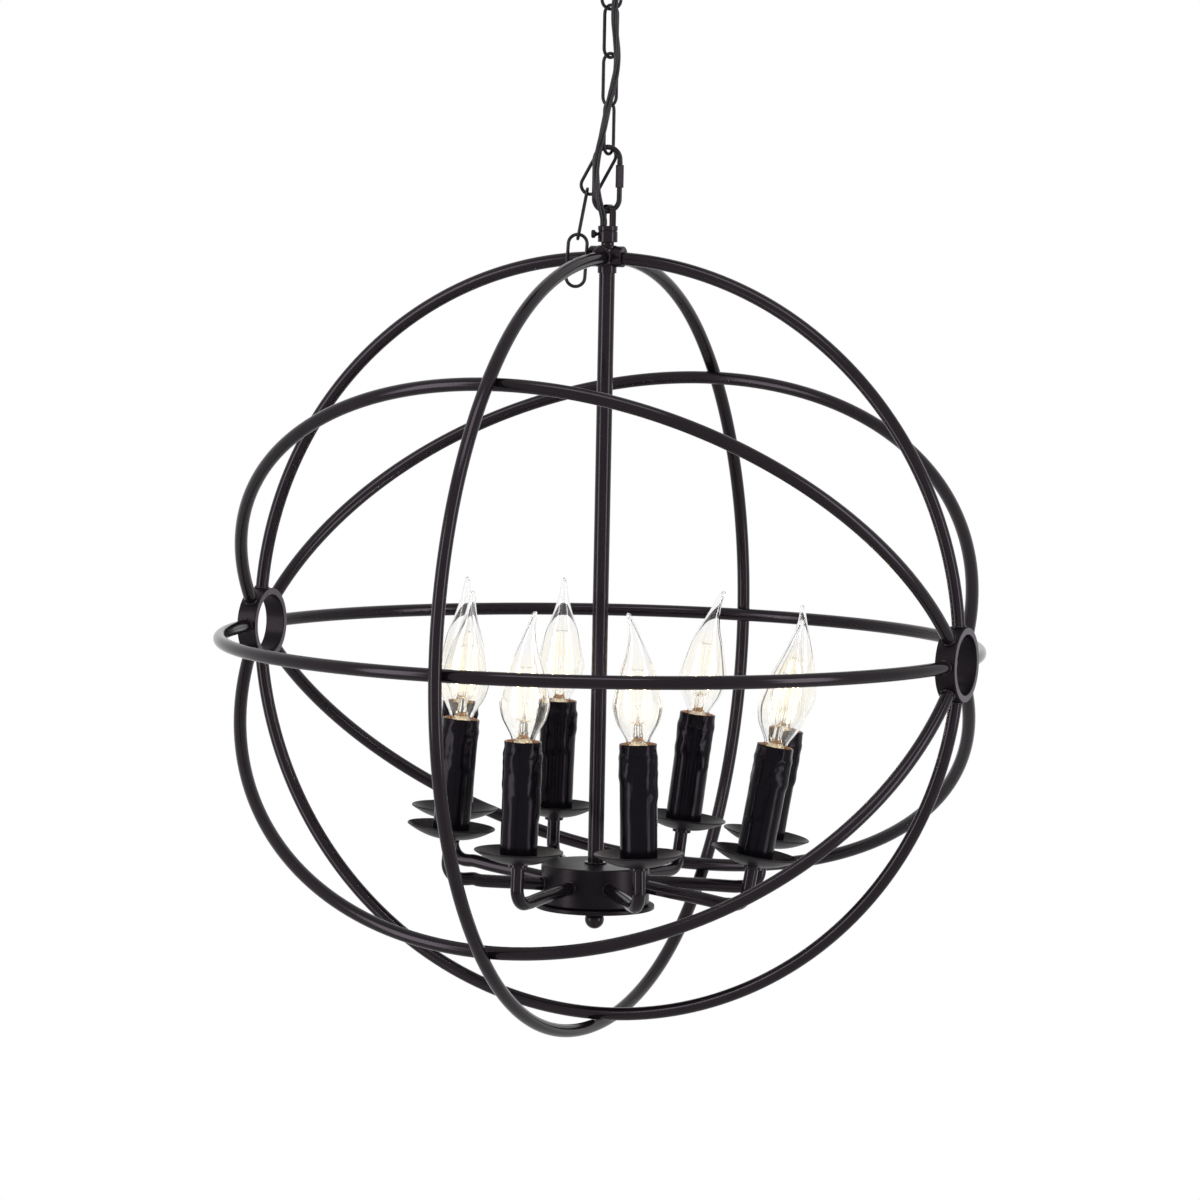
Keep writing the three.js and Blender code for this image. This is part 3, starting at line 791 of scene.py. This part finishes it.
def buildTop():
    h = topHub
    cross = lathed([
        (0, -h["reach"] + 0.3), (h["bore"], -h["reach"] + 0.3), (h["bore"], -h["reach"]),
        (h["socket"], -h["reach"]), (h["socket"], h["reach"]), (h["bore"], h["reach"]),
        (h["bore"], h["reach"] - 0.3), (0, h["reach"] - 0.3),
    ], 0.9)
    middle = lathed([
        (0, h["collarLow"]), (h["collar"], h["collarLow"]), (h["collar"], h["low"] + 1),
        (h["column"] + 0.2, h["low"] + 1), (h["column"] + 0.2, h["high"]), (h["neck"], h["high"]),
        (h["neck"], h["neckHigh"] + 0.3), (0, h["neckHigh"] + 0.3),
    ], 0.45)
    lift = Matrix.Translation((0, 0, h["z"] * mm))
    shape = joined(
        moved(middle, orb),
        moved(cross, orb @ lift @ Matrix.Rotation(pi / 2, 4, "Y")),
        moved(cross, orb @ lift @ Matrix.Rotation(pi / 2, 4, "X")),
    )
    addPiece("top_hub_cross", shape, blackPaint, "lamp", ["top_hub"])

    g = grip
    body = lathed([
        (0, g["low"]), (g["radius"], g["low"]), (g["radius"], g["groove"] - 0.5),
        (g["radius"] - 0.45, g["groove"] - 0.3), (g["radius"] - 0.45, g["groove"] + 0.3),
        (g["radius"], g["groove"] + 0.5), (g["radius"], g["high"]), (5.2, g["high"]),
        (5.2, g["high"] - 1), (0, g["high"] - 1),
    ], 0.4, 72)
    addPiece("grip_collar_body", moved(body, orb), blackPaint, "lamp", ["grip_collar"])

    # the eye is a flat strap bent over, with both legs in the collar
    bend = (eye["width"] - eye["wire"]) / 2
    spring = eye["under"] + eye["wire"] / 2 - bend
    points = [(bend, g["high"] - 1.2), (bend, g["high"] + 2)]
    points += [(bend * cos(pi * i / 16), spring + bend * sin(pi * i / 16)) for i in range(17)]
    points += [(-bend, g["high"] + 2), (-bend, g["high"] - 1.2)]
    t, w = eye["thick"] / 2 * mm, eye["wide"] / 2 * mm
    strap = rounded([(-t, -w), (t, -w), (t, w), (-t, w)], 0.6 * mm, closed=True)
    path = [Vector((x, 0, z)) * mm for x, z in points]
    shape = moved(sweep(path, strap, start=(1, 0, 0)), orb @ faced(eye["turn"]))
    addPiece("hanging_eye_strap", shape, blackPaint, "lamp", ["hanging_eye"])

    s = thumbScrew
    neck = s["end"] - s["head"]

    def knurl(around, height):
        return 0.13 * cos(18 * around) if neck + 0.8 < height < s["end"] - 0.4 else 0

    knob = lathed([
        (0, s["tip"]), (s["shaft"], s["tip"]), (s["shaft"], neck - 1), (s["neck"], neck - 0.8),
        (s["neck"], neck), (s["knob"] - 0.5, neck + 0.5), (s["knob"], neck + 1.2),
        (s["knob"], s["end"] - 0.8), (s["knob"] - 0.7, s["end"]), (0, s["end"]),
    ], 0.3, 144, wave=knurl)
    spot = orb @ Matrix.Translation((0, 0, s["z"] * mm)) @ faced() @ Matrix.Rotation(-pi / 2, 4, "Y")
    addPiece("thumb_screw_knob", moved(knob, spot), blackPaint, "screw", ["thumb_screw"])


buildTop()


# Stem, cup, cover and finial, heights in millimetres over the middle of the orb
middleBody = {
    "stem": 5.75, "stemLow": -160.7, "stemHigh": 268.3, "foot": 8.2, "nipple": 3.5, "nippleLow": -200,
    "cup": 39.5, "cupTop": -161, "cupLow": -190, "sheet": 1.5, "hole": 3.9,
    "cover": 43.5, "coverTop": -190.3, "coverLow": -193.4,
    "ball": 7, "ballZ": -202, "ballNeck": 4.8, "ballTop": -193.7,
}


def buildMiddle():
    b = middleBody
    pipe = lathed([
        (0, b["stemLow"]), (b["stem"], b["stemLow"]), (b["stem"], b["stemHigh"]), (0, b["stemHigh"]),
    ], 0.35)
    nipple = threaded(
        b["nipple"], depth=0.35, pitch=1.2, low=b["nippleLow"], high=b["stemLow"] + 0.2, sides=28, per=6,
    )
    foot = ringShape(b["foot"], b["stem"] - 0.2, b["cupTop"] - 0.1, b["cupTop"] + 1.2, 0.5)
    shape = moved(joined(pipe, nipple, foot), orb)
    addPiece("stem_pipe_tube", shape, blackPaint, "lamp", ["stem_pipe"])

    inside = b["cup"] - b["sheet"]
    cup = lathed([
        (inside, b["cupLow"]), (b["cup"], b["cupLow"]), (b["cup"], b["cupTop"]), (b["hole"], b["cupTop"]),
        (b["hole"], b["cupTop"] - b["sheet"]), (inside, b["cupTop"] - b["sheet"]),
    ], 1.6, 128, closed=True, steps=6)
    addPiece("body_cup_shell", moved(cup, orb), satinPaint, "lamp", ["body_cup"])
    cover = lathed([
        (b["hole"], b["coverLow"]), (b["cover"], b["coverLow"]), (b["cover"], b["coverTop"]),
        (b["cup"] + 0.6, b["coverTop"]), (b["cup"] + 0.3, b["coverTop"] - 0.5),
        (b["hole"], b["coverTop"] - 0.5),
    ], 0.8, 128, closed=True)
    addPiece("cover_plate_disc", moved(cover, orb), satinPaint, "lamp", ["cover_plate"])

    ball = [(0, b["ballZ"] - b["ball"])]
    for k in range(-17, 10):
        turn = radians(5 * k)
        ball.append((b["ball"] * cos(turn), b["ballZ"] + b["ball"] * sin(turn)))
    ball += [(b["ballNeck"], b["ballTop"] - 2.2), (b["ballNeck"], b["ballTop"] - 1.2)]
    ball += [(b["ballNeck"] + 0.9, b["ballTop"] - 1.0), (b["ballNeck"] + 0.9, b["ballTop"]), (0, b["ballTop"])]
    shape = moved(turned(ball, 48), orb)
    addPiece("finial_ball", shape, blackPaint, "finial", ["finial"], sharp=50)


buildMiddle()
print("top fitting and middle body built")


# Eight lights: a turn round the stem, how far out and up, a lean to the right and a bend of the bulb's tip
lights = [
    {"turn": -4, "reach": 123, "rise": -7, "lean": 9.5, "bend": 2},
    {"turn": 34.5, "reach": 123, "rise": -4, "lean": 9, "bend": -4},
    {"turn": 81.5, "reach": 119, "rise": -2.5, "lean": 6.6, "bend": 7},
    {"turn": 128.5, "reach": 119.5, "rise": 3, "lean": 1.4, "bend": 0},
    {"turn": 173.5, "reach": 121.5, "rise": 7, "lean": 2.2, "bend": 0},
    {"turn": 221, "reach": 112, "rise": 5, "lean": 4.3, "bend": 0},
    {"turn": 265, "reach": 118, "rise": -3, "lean": 1.3, "bend": 5},
    {"turn": 308, "reach": 119.5, "rise": -2, "lean": -1.5, "bend": -6.5},
]
arm = {
    "start": 38.8, "z": -175, "bend": 12, "stub": 20, "weld": 39.6, "bead": 0.0007,
    "slope": [(62, 0.32), (86, 0.68)],  # how far out, and the share of its rise that it has there
}
dish = {"radius": 31.5, "low": 18, "rim": 26.6, "sheet": 1.1, "flat": 8}
sleeve = {"radius": 13.25, "wall": 1.5, "low": 22, "high": 105.5, "collar": 9, "runs": 6}
holder = {"pipe": 5, "step": 45, "radius": 10, "bore": 7.5, "boreLow": 73, "high": 101}
bulb = {
    "base": 105.8,
    "outline": [
        (8.0, -4), (8.2, 0), (9.4, 4), (11.9, 8.6), (15.5, 15.5), (17.6, 24), (17.5, 29), (14.7, 41),
        (11.9, 52), (8.5, 61.5), (5.5, 71), (3.4, 80), (2.3, 87), (1.9, 90),
    ],
    "tip": 92,
    "bendFrom": 55,
    "wall": 0.55,
    "sides": 64,
    "filament": {"radius": 1.3, "low": 18, "high": 50, "ring": 7.2, "count": 4},
    "mount": [
        (0, -6), (6.4, -6), (6.2, -2), (4.2, 3), (3.1, 8), (3.0, 12.5), (2.2, 14), (1.1, 15.5),
        (0.9, 22), (0.95, 24), (0, 25),
    ],
    "shoulder": [(0, -3), (6.6, -3), (6.9, -1.8), (6.3, -0.6), (0, -0.6)],
    "capBase": [(0, -26), (2.4, -26), (5.6, -22.4), (5.9, -21.5), (0, -21.5)],
    "contact": [(0, -28.8), (1.6, -28.6), (2.3, -27.6), (2.3, -25.8), (0, -25.8)],
}


def lightSpot(light):
    turn = radians(light["turn"])
    at = polar(light["reach"], turn, arm["z"] + arm["bend"] + light["rise"]) * mm
    axis = fromFront(0, 1000, 0)
    return Matrix.Translation(place["orbMiddle"] + at) @ Matrix.Rotation(radians(light["lean"]), 4, axis)


def armShape(light, spot):
    turn = radians(light["turn"])
    out = polar(1, turn)

    def at(radius, z):
        return place["orbMiddle"] + (out * radius + Vector((0, 0, z))) * mm

    straight = light["reach"] - arm["bend"]
    low = arm["z"] + light["rise"]
    points = [at(arm["start"], arm["z"]), at(arm["start"] + 3, arm["z"])]
    points += [at(radius, arm["z"] + light["rise"] * share) for radius, share in arm["slope"]]
    points += [at(straight - 8, low), at(straight - 3, low)]
    for i in range(9):
        bend = pi * i / 16
        points.append(at(straight + arm["bend"] * sin(bend), low + arm["bend"] * (1 - cos(bend))))
    points += [spot @ upward(z) for z in (4, 9, 14, arm["stub"])]
    tube = sweep(smoothPath(points, per=3), circle(cage["tube"], 24))
    return joined(tube, weldBead(at(arm["weld"], arm["z"]), out, cage["tube"], arm["bead"], light["turn"]))


def dishShape():
    d = dish
    under, steps = [], 14
    for i in range(steps + 1):
        radius = d["flat"] + (d["radius"] - d["flat"]) * i / steps
        under.append((radius, d["low"] + (d["rim"] - d["low"]) * (i / steps) ** 1.75))
    over = [(radius - 0.25, z + d["sheet"]) for radius, z in under]
    lip = [(d["radius"] + 0.25, d["rim"] + 0.35), (d["radius"] + 0.1, d["rim"] + 0.95)]
    return turned([(0, d["low"])] + under + lip + over[::-1] + [(0, d["low"] + d["sheet"])], 96)


def dripWave(seed):
    # broad wax runs under a lumpy collar; each thins out to a rounded end
    s, chance = sleeve, random.Random(seed)
    collarLow = s["high"] - s["collar"]
    runs = [{
        "turn": tau * (k + chance.uniform(-0.3, 0.3)) / s["runs"],
        "end": chance.uniform(40, 80),
        "half": chance.uniform(0.6, 0.95),
        "high": chance.uniform(0.8, 1.4),
        "sway": chance.uniform(-0.05, 0.05),
        "phase": chance.uniform(0, 6),
    } for k in range(s["runs"])]

    def wave(turn, height):
        thick, down = 0, max(0, s["high"] - height)
        for run in runs:
            off = (turn - run["turn"] - run["sway"] * down / 20 + pi) % tau - pi
            below = height - run["end"]
            across = eased(1 - abs(off) / (run["half"] * (1 - 0.25 * min(1, down / 60))))
            fuller = 1 + 0.35 * exp(-((below - 7) / 5) ** 2) + 0.24 * sin(height / 2.7 + run["phase"])
            thick += run["high"] * across * eased(below / 8) * fuller
        thick = 2.1 * (1 - exp(-thick / 2.1)) * eased((collarLow + 2 - height) / 5)
        bulge = 0.5 * exp(-((height - collarLow) / 2.4) ** 2)
        lump = noise.noise(Vector((3 * cos(turn), 3 * sin(turn) + seed, height / 5)))
        rough = noise.noise(Vector((2 * cos(turn), 2 * sin(turn) + seed, height / 12)))
        return thick + bulge + 0.4 * lump * eased((height - 60) / 40) + 0.1 * rough

    return wave


def sleeveShape(seed):
    s, wave = sleeve, dripWave(seed)
    rows, sides = 110, 120
    outer = [(s["radius"] - 0.2, s["low"])]
    outer += [(s["radius"], s["low"] + 0.2 + (s["high"] - 0.8 - s["low"]) * i / rows) for i in range(rows + 1)]
    outer += [(s["radius"] - 0.25, s["high"] - 0.15), (s["radius"] - 0.7, s["high"])]
    inner = [(s["radius"] - s["wall"] + 0.2, s["high"] - 0.2), (s["radius"] - s["wall"], s["high"] - 0.8)]
    inner += [(s["radius"] - s["wall"], z) for z in (s["high"] - 3, s["high"] - 7, s["low"] + 0.3)]
    inner += [(s["radius"] - s["wall"] + 0.3, s["low"])]
    verts, faces = turned(outer + inner, sides, closed=True)
    for k in range(len(outer) * sides):
        spot = verts[k]
        turn = atan2(spot.y, spot.x)
        more = wave(turn, spot.z / mm) * mm
        verts[k] = Vector((spot.x + more * cos(turn), spot.y + more * sin(turn), spot.z))
    return verts, faces


def paintGlowAbove(piece, spot, radius, height):
    # faces inside a radius and over a height get a painted glow: an emissive colour standing in for the
    # filaments' light on them
    piece.data.materials.append(paintedGlow)
    inverse = spot.inverted()
    for face in piece.data.polygons:
        local = inverse @ face.center / mm
        if hypot(local.x, local.y) < radius and local.z > height:
            face.material_index = 1


def bulbAxis(height, bend, side):
    past = max(0, height - bulb["bendFrom"]) / (bulb["tip"] - bulb["bendFrom"])
    return side * (bend * past**2 * mm)


def bulbShell(bend, side):
    smooth = smoothPath([Vector((r, h, 0)) for r, h in bulb["outline"]], per=5)
    outer = [(p.x, p.y) for p in smooth]
    outer += [(1.5, bulb["tip"] - 0.8), (0.8, bulb["tip"] - 0.2), (0, bulb["tip"])]
    inner = [(max(0.3, p.x - bulb["wall"]), p.y) for p in smooth if p.y < bulb["tip"] - 3]
    inner = [(0, bulb["tip"] - 2.2)] + inner[::-1]
    sides, shell = bulb["sides"], turned(outer, bulb["sides"])
    verts, faces = joined(shell, turned(inner, sides))
    # the open rims of both skins are joined
    low = len(shell[0]) + 1 + sides * (len(inner) - 2)
    faces += [(k, (k + 1) % sides, low + (k + 1) % sides, low + k) for k in range(sides)]
    return [v + bulbAxis(v.z / mm, bend, side) for v in verts], faces


def bulbInside(spot):
    # the glass mount, its wires and the filaments
    f = bulb["filament"]
    mount = lathed(bulb["mount"], 0.6, 32)
    rods, wires = [], []
    for k in range(f["count"]):
        turn = tau * (k + 0.5) / f["count"] + 0.35
        out = polar(1, turn)
        foot, top = out * (f["ring"] + 0.5) * mm, out * (f["ring"] - 0.7) * mm
        low, high = foot + upward(f["low"]), top + upward(f["high"])
        rods.append(sweep([low, low.lerp(high, 0.5), high], circle(f["radius"] * mm, 12)))
        tab = circle(0.55 * mm, 8)
        wires.append(sweep([low - upward(4.2), low + upward(0.4)], tab))
        wires.append(sweep([high - upward(0.4), high + upward(2.4)], tab))
        thin = circle(0.22 * mm, 6)
        route = [upward(12.5) + out * 1.4 * mm, upward(14.2) + out * 3.4 * mm, low - upward(3.6)]
        wires.append(sweep(smoothPath(route, 4), thin))
        wires.append(sweep([upward(f["high"] + 2), high + upward(2)], thin))
    wires.append(sweep([upward(23), upward(f["high"] + 2.4)], circle(0.3 * mm, 8)))
    return moved(mount, spot), moved(joined(*rods), spot), moved(joined(*wires), spot)


def capShape():
    thread = threaded(6.8, depth=0.55, pitch=2.8, low=-22, high=-2, sides=48, per=10)
    cap = joined(thread, lathed(bulb["shoulder"], 0.3, 48))
    return cap, lathed(bulb["capBase"], 0.5, 48), lathed(bulb["contact"], 0.3, 32)


def buildLights():
    side = fromFront(1, 0, 0) / mm
    for i, light in enumerate(lights):
        n, spot = i + 1, lightSpot(light)
        nodes = [f"light_arm_{n}"]
        addPiece(f"light_{n}_arm", armShape(light, spot), blackPaint, "lamp", nodes, sharp=60)
        washer = ringShape(6.9, 4.6, dish["low"] - 2.6, dish["low"] - 0.05, 0.5, 48)
        addPiece(f"light_{n}_washer", moved(washer, spot), blackPaint, "lamp", nodes)
        addPiece(f"light_{n}_dish", moved(dishShape(), spot), satinPaint, "lamp", nodes, sharp=50)
        h = holder
        socket = lathed([
            (0, dish["low"] + 1), (h["pipe"], dish["low"] + 1), (h["pipe"], h["step"]),
            (h["radius"], h["step"]), (h["radius"], h["high"] - 2),
            (h["radius"] - 0.5, h["high"] - 1.8), (h["radius"] - 0.5, h["high"]),
            (h["bore"], h["high"]), (h["bore"], h["boreLow"]), (0, h["boreLow"]),
        ], 0.4, 48)
        lampHolder = addPiece(f"light_{n}_holder", moved(socket, spot), holderBrown, "lamp", nodes)
        paintGlowAbove(lampHolder, spot, h["radius"] - 0.4, h["high"] - 1)
        tube = addPiece(
            f"candle_{n}_sleeve", moved(sleeveShape(17 * n), spot), candleBlack, "lamp",
            [f"candle_sleeve_{n}"], sharp=75, even=False,
        )
        paintGlowAbove(tube, spot, sleeve["radius"] - 1, sleeve["high"] - 8)

        raised = spot @ Matrix.Translation((0, 0, bulb["base"] * mm))
        lean = spot.to_3x3().inverted()
        body, nodes = f"bulb_{n}", [f"bulb_{n}"]
        shell = moved(bulbShell(light["bend"], lean @ side), raised)
        mount, rods, wires = bulbInside(raised)
        thread, base, contact = (moved(shape, raised) for shape in capShape())
        for part, shape, material, slot, sharp, even in (
            ("glass", shell, bulbGlass, None, 80, False),
            ("mount", mount, mountGlass, None, 80, False),
            ("filaments", rods, litFilament, None, 60, False),
            ("wires", wires, zincSteel, "cap_metal", 60, False),
            ("cap", thread, capMetal, None, 60, True),
            ("base", base, holderBrown, None, 35, True),
            ("contact", contact, capMetal, None, 35, True),
        ):
            addPiece(f"bulb_{n}_{part}", shape, material, body, nodes, slot, sharp, even)


buildLights()
print("lights built")


# Chain, quick link and spare links, in millimetres over the middle of the orb
chain = {
    "wire": 2.5, "length": 40, "width": 16,
    "turns": [0, 47, -45, 60],
    "place": (-0.6, 1.75, 352.3),  # right, back and underside of the lowest link
    "fit": 0.45,
    "spareStart": (1.1, 3.55, 358.3),
    "spareDown": [(-0.462, 0.07, -0.884), (-0.165, -0.295, -0.94), (-0.05, 0, -1)],
    "spareAcross": [(0.886, 0, -0.463), (0, 1, 0), (1, 0, 0)],
}
linkPitch = chain["length"] - 2 * chain["wire"] - chain["fit"]
quick = {
    "wire": 3.8, "length": 49.8, "width": 21.7, "bottom": 310.6, "right": -1.2,
    "nutAcross": 5.8, "nutHeight": 16.4, "nutLow": 329.5, "hole": 2.1,
}


def linkPath(length, width, wire, steps):
    bend = (width - wire) / 2
    straight = (length - wire) / 2 - bend
    path = []
    for end in (1, -1):
        for i in range(steps + 1):
            turn = pi * i / steps
            path.append(Vector((end * bend * cos(turn), 0, end * (straight + bend * sin(turn)))) * mm)
        for k in range(1, 6):
            path.append(Vector((-end * bend, 0, end * straight * (1 - 2 * k / 6))) * mm)
    return path


def chainLink(seed):
    path = linkPath(chain["length"], chain["width"], chain["wire"], 18)
    sizes = []
    for p in path:
        seam = exp(-((p.z / mm - 1.5) / 1.1) ** 2) if p.x < 0 else 0
        sizes.append(1 + 0.12 * seam + 0.012 * sin(seed + p.z / mm))
    return sweep(path, circle(chain["wire"] / 2 * mm, 16), closed=True, sizes=sizes)


def buildChain():
    right, back, bottom = chain["place"]
    count = len(chain["turns"])
    for i, turn in enumerate(chain["turns"]):
        height = bottom + chain["length"] / 2 + (count - 1 - i) * linkPitch
        spot = Matrix.Translation(overOrb(right, back, height)) @ faced(turn)
        addPiece(
            f"chain_link_{i + 1}_wire", moved(chainLink(i), spot), wireBlack,
            "lower_links" if i else "link_1", [f"chain_link_{i + 1}"], sharp=80, even=False,
        )
    span = chain["length"] - chain["wire"]
    hooked = chain["wire"] + chain["fit"]
    top = Vector(chain["spareStart"])
    for i, down in enumerate(chain["spareDown"]):
        along = Vector(down).normalized()
        across = Vector(chain["spareAcross"][i])
        across = (across - along * across.dot(along)).normalized()
        up, side = fromFront(*-along).normalized(), fromFront(*across).normalized()
        turn = Matrix((side, up.cross(side), up)).transposed().to_4x4()
        spot = Matrix.Translation(overOrb(*(top + along * span / 2))) @ turn
        addPiece(
            f"spare_link_{i + 1}_wire", moved(chainLink(7 + i), spot), wireBlack, f"spare_{i + 1}",
            [f"spare_link_{i + 1}"], sharp=80, even=False,
        )
        if i + 1 < len(chain["spareDown"]):
            after = Vector(chain["spareDown"][i + 1]).normalized()
            top = top + along * span - (after + along).normalized() * hooked

    q = quick
    spot = Matrix.Translation(overOrb(q["right"], 0, q["bottom"] + q["length"] / 2)) @ faced()
    low = q["nutLow"] - q["bottom"] - q["length"] / 2
    high = low + q["nutHeight"]
    leg = (q["width"] - q["wire"]) / 2
    path = linkPath(q["length"], q["width"], q["wire"], 24)
    bent = [p for p in path if not (p.x > 0 and low < p.z / mm < high)]
    first = next(i for i, p in enumerate(bent) if p.x > 0 and p.z / mm >= high)
    bent = bent[first:] + bent[:first]
    # the wire runs from above the nut, over the top and round to below it
    start = Vector((leg, 0, high - 1)) * mm
    end = Vector((leg, 0, low + 1)) * mm
    wire = sweep([start] + bent + [end], circle(q["wire"] / 2 * mm, 24))
    thread = threaded(1.6, depth=0.25, pitch=0.8, low=low + 0.5, high=high - 0.5, sides=24, per=6)
    ridge = lathed([
        (0, high + 0.5), (1.9, high + 0.5), (2.05, high + 0.7), (2.05, high + 2.1),
        (1.9, high + 2.4), (0, high + 2.4),
    ], 0.1, 32)
    at = Matrix.Translation((leg * mm, 0, 0))
    shape = joined(wire, moved(thread, at), moved(ridge, at))
    shape = moved(shape, spot)
    addPiece("quick_link_wire", shape, wireBlack, "quick", ["quick_link"], sharp=50, even=False)
    nut = moved(hexNut(q["nutAcross"], q["hole"], low, high), spot @ at)
    addPiece("quick_link_nut_hex", nut, satinPaint, "quick_nut", ["quick_link_nut"], "wire_black", sharp=25)


buildChain()
print("chain and quick link built")


# Parts at the ceiling, heights in millimetres from the ceiling
ceiling = {
    "rim": 58, "curve": [(58, -5), (54.5, -14), (46, -22), (32, -27)],
    "sheet": 1.2, "hole": 5.6, "underside": -27.7,
    "stud": 5, "studLow": -33, "studHigh": -2.8,
    "nutAcross": 14.7, "nutLow": -33.6, "nutHigh": -28,
    "loopWire": 4, "loopRadius": 9, "loopEase": 0.2,
    "gland": (14, -8.2), "glandLow": -34, "glandFlange": -31,
    "screwSpots": (-34, 34),
    "screw": [
        (0, -5.2), (2.2, -5.1), (3.9, -4.0), (4.1, -2.9), (4.6, -2.9), (4.6, -2.55), (1.9, -2.55),
        (1.9, -0.4), (0, -0.4),
    ],
}


def buildCeiling():
    c = ceiling
    curve = [(p.x, p.y) for p in smoothPath([Vector((r, z, 0)) for r, z in c["curve"]], per=6)]
    outer = [(c["rim"], -0.5), (c["rim"], -2)] + curve + [(16, c["underside"] + 0.2)]
    inner = [(r - c["sheet"], z + c["sheet"] * 0.75) for r, z in outer]
    inner[0] = (c["rim"] - c["sheet"], -0.5)
    ends = [(c["hole"], c["underside"] + c["sheet"]), (c["hole"], c["underside"])]
    shell = turned(ends[1:] + outer[::-1] + inner + ends[:1], 128, closed=True)
    bead = ringShape(c["rim"] + 0.5, c["rim"] - 1.1, -1.9, -0.35, 0.6, 128)
    addPiece("canopy_shell", joined(shell, bead), blackPaint, "ceiling", ["canopy"], sharp=45)

    stud = threaded(c["stud"], depth=0.45, pitch=1.5, low=c["studLow"], high=c["studHigh"], sides=32, per=6)
    addPiece("hanging_stud_rod", stud, zincSteel, "ceiling", ["hanging_stud"], sharp=60, even=False)
    nut = hexNut(c["nutAcross"], c["stud"] + 0.1, c["nutLow"], c["nutHigh"])
    washer = ringShape(8.6, c["stud"] + 0.1, c["nutHigh"] - 0.6, c["underside"] + 0.05, 0.2)
    addPiece("canopy_nut_hex", joined(nut, washer), wireBlack, "ceiling", ["canopy_nut"], sharp=25)

    linkTop = chain["place"][2] + place["orbMiddle"].z / mm + chain["length"]
    linkTop += (len(chain["turns"]) - 1) * linkPitch
    low = linkTop - chain["wire"] - chain["fit"] - c["loopWire"] / 2 - c["loopEase"]
    ring = [
        Vector((c["loopRadius"] * sin(t), 0, low + c["loopRadius"] + c["loopRadius"] * cos(t))) * mm
        for t in (tau * i / 72 for i in range(72))
    ]
    wire = sweep(ring, circle(c["loopWire"] / 2 * mm, 20), closed=True)
    boss = lathed([
        (0, low + 16.5), (3.4, low + 16.8), (c["stud"], low + 18.6), (c["stud"] + 0.6, low + 19.4),
        (c["stud"] + 0.6, c["studLow"] - 0.9), (c["stud"], c["studLow"] - 0.3), (0, c["studLow"] - 0.3),
    ], 0.4, 48)
    shape = moved(joined(wire, boss), faced(90))
    addPiece("canopy_loop_ring", shape, wireBlack, "ceiling", ["canopy_loop"], sharp=50)

    right, back = c["gland"]
    spot = Matrix.Translation(fromFront(right, back, 0))

    def ribs(around, height):
        return 0.18 * cos(14 * around) if c["glandFlange"] < height < -28.3 else 0

    body = lathed([
        (0, c["glandLow"]), (3.2, c["glandLow"]), (4.2, c["glandFlange"] - 0.4), (5.8, c["glandFlange"]),
        (6, -30.2), (6, -28.6), (5.4, -28), (4.4, -28), (4.4, -24.7), (0, -24.7),
    ], 0.35, 84, wave=ribs)
    addPiece("cable_gland_body", moved(body, spot), cableBlack, "ceiling", ["cable_gland"], sharp=40)

    for k, x in enumerate(c["screwSpots"]):
        spot = Matrix.Translation(Vector((x, 0, 0)) * mm)
        screw = moved(lathed(c["screw"], 0.25, 40), spot)
        addPiece(f"ceiling_screw_{k + 1}", screw, zincSteel, "ceiling")
    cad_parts["ceiling_bracket"].material_slots[0].material = zincSteel


buildCeiling()
print("ceiling parts built")
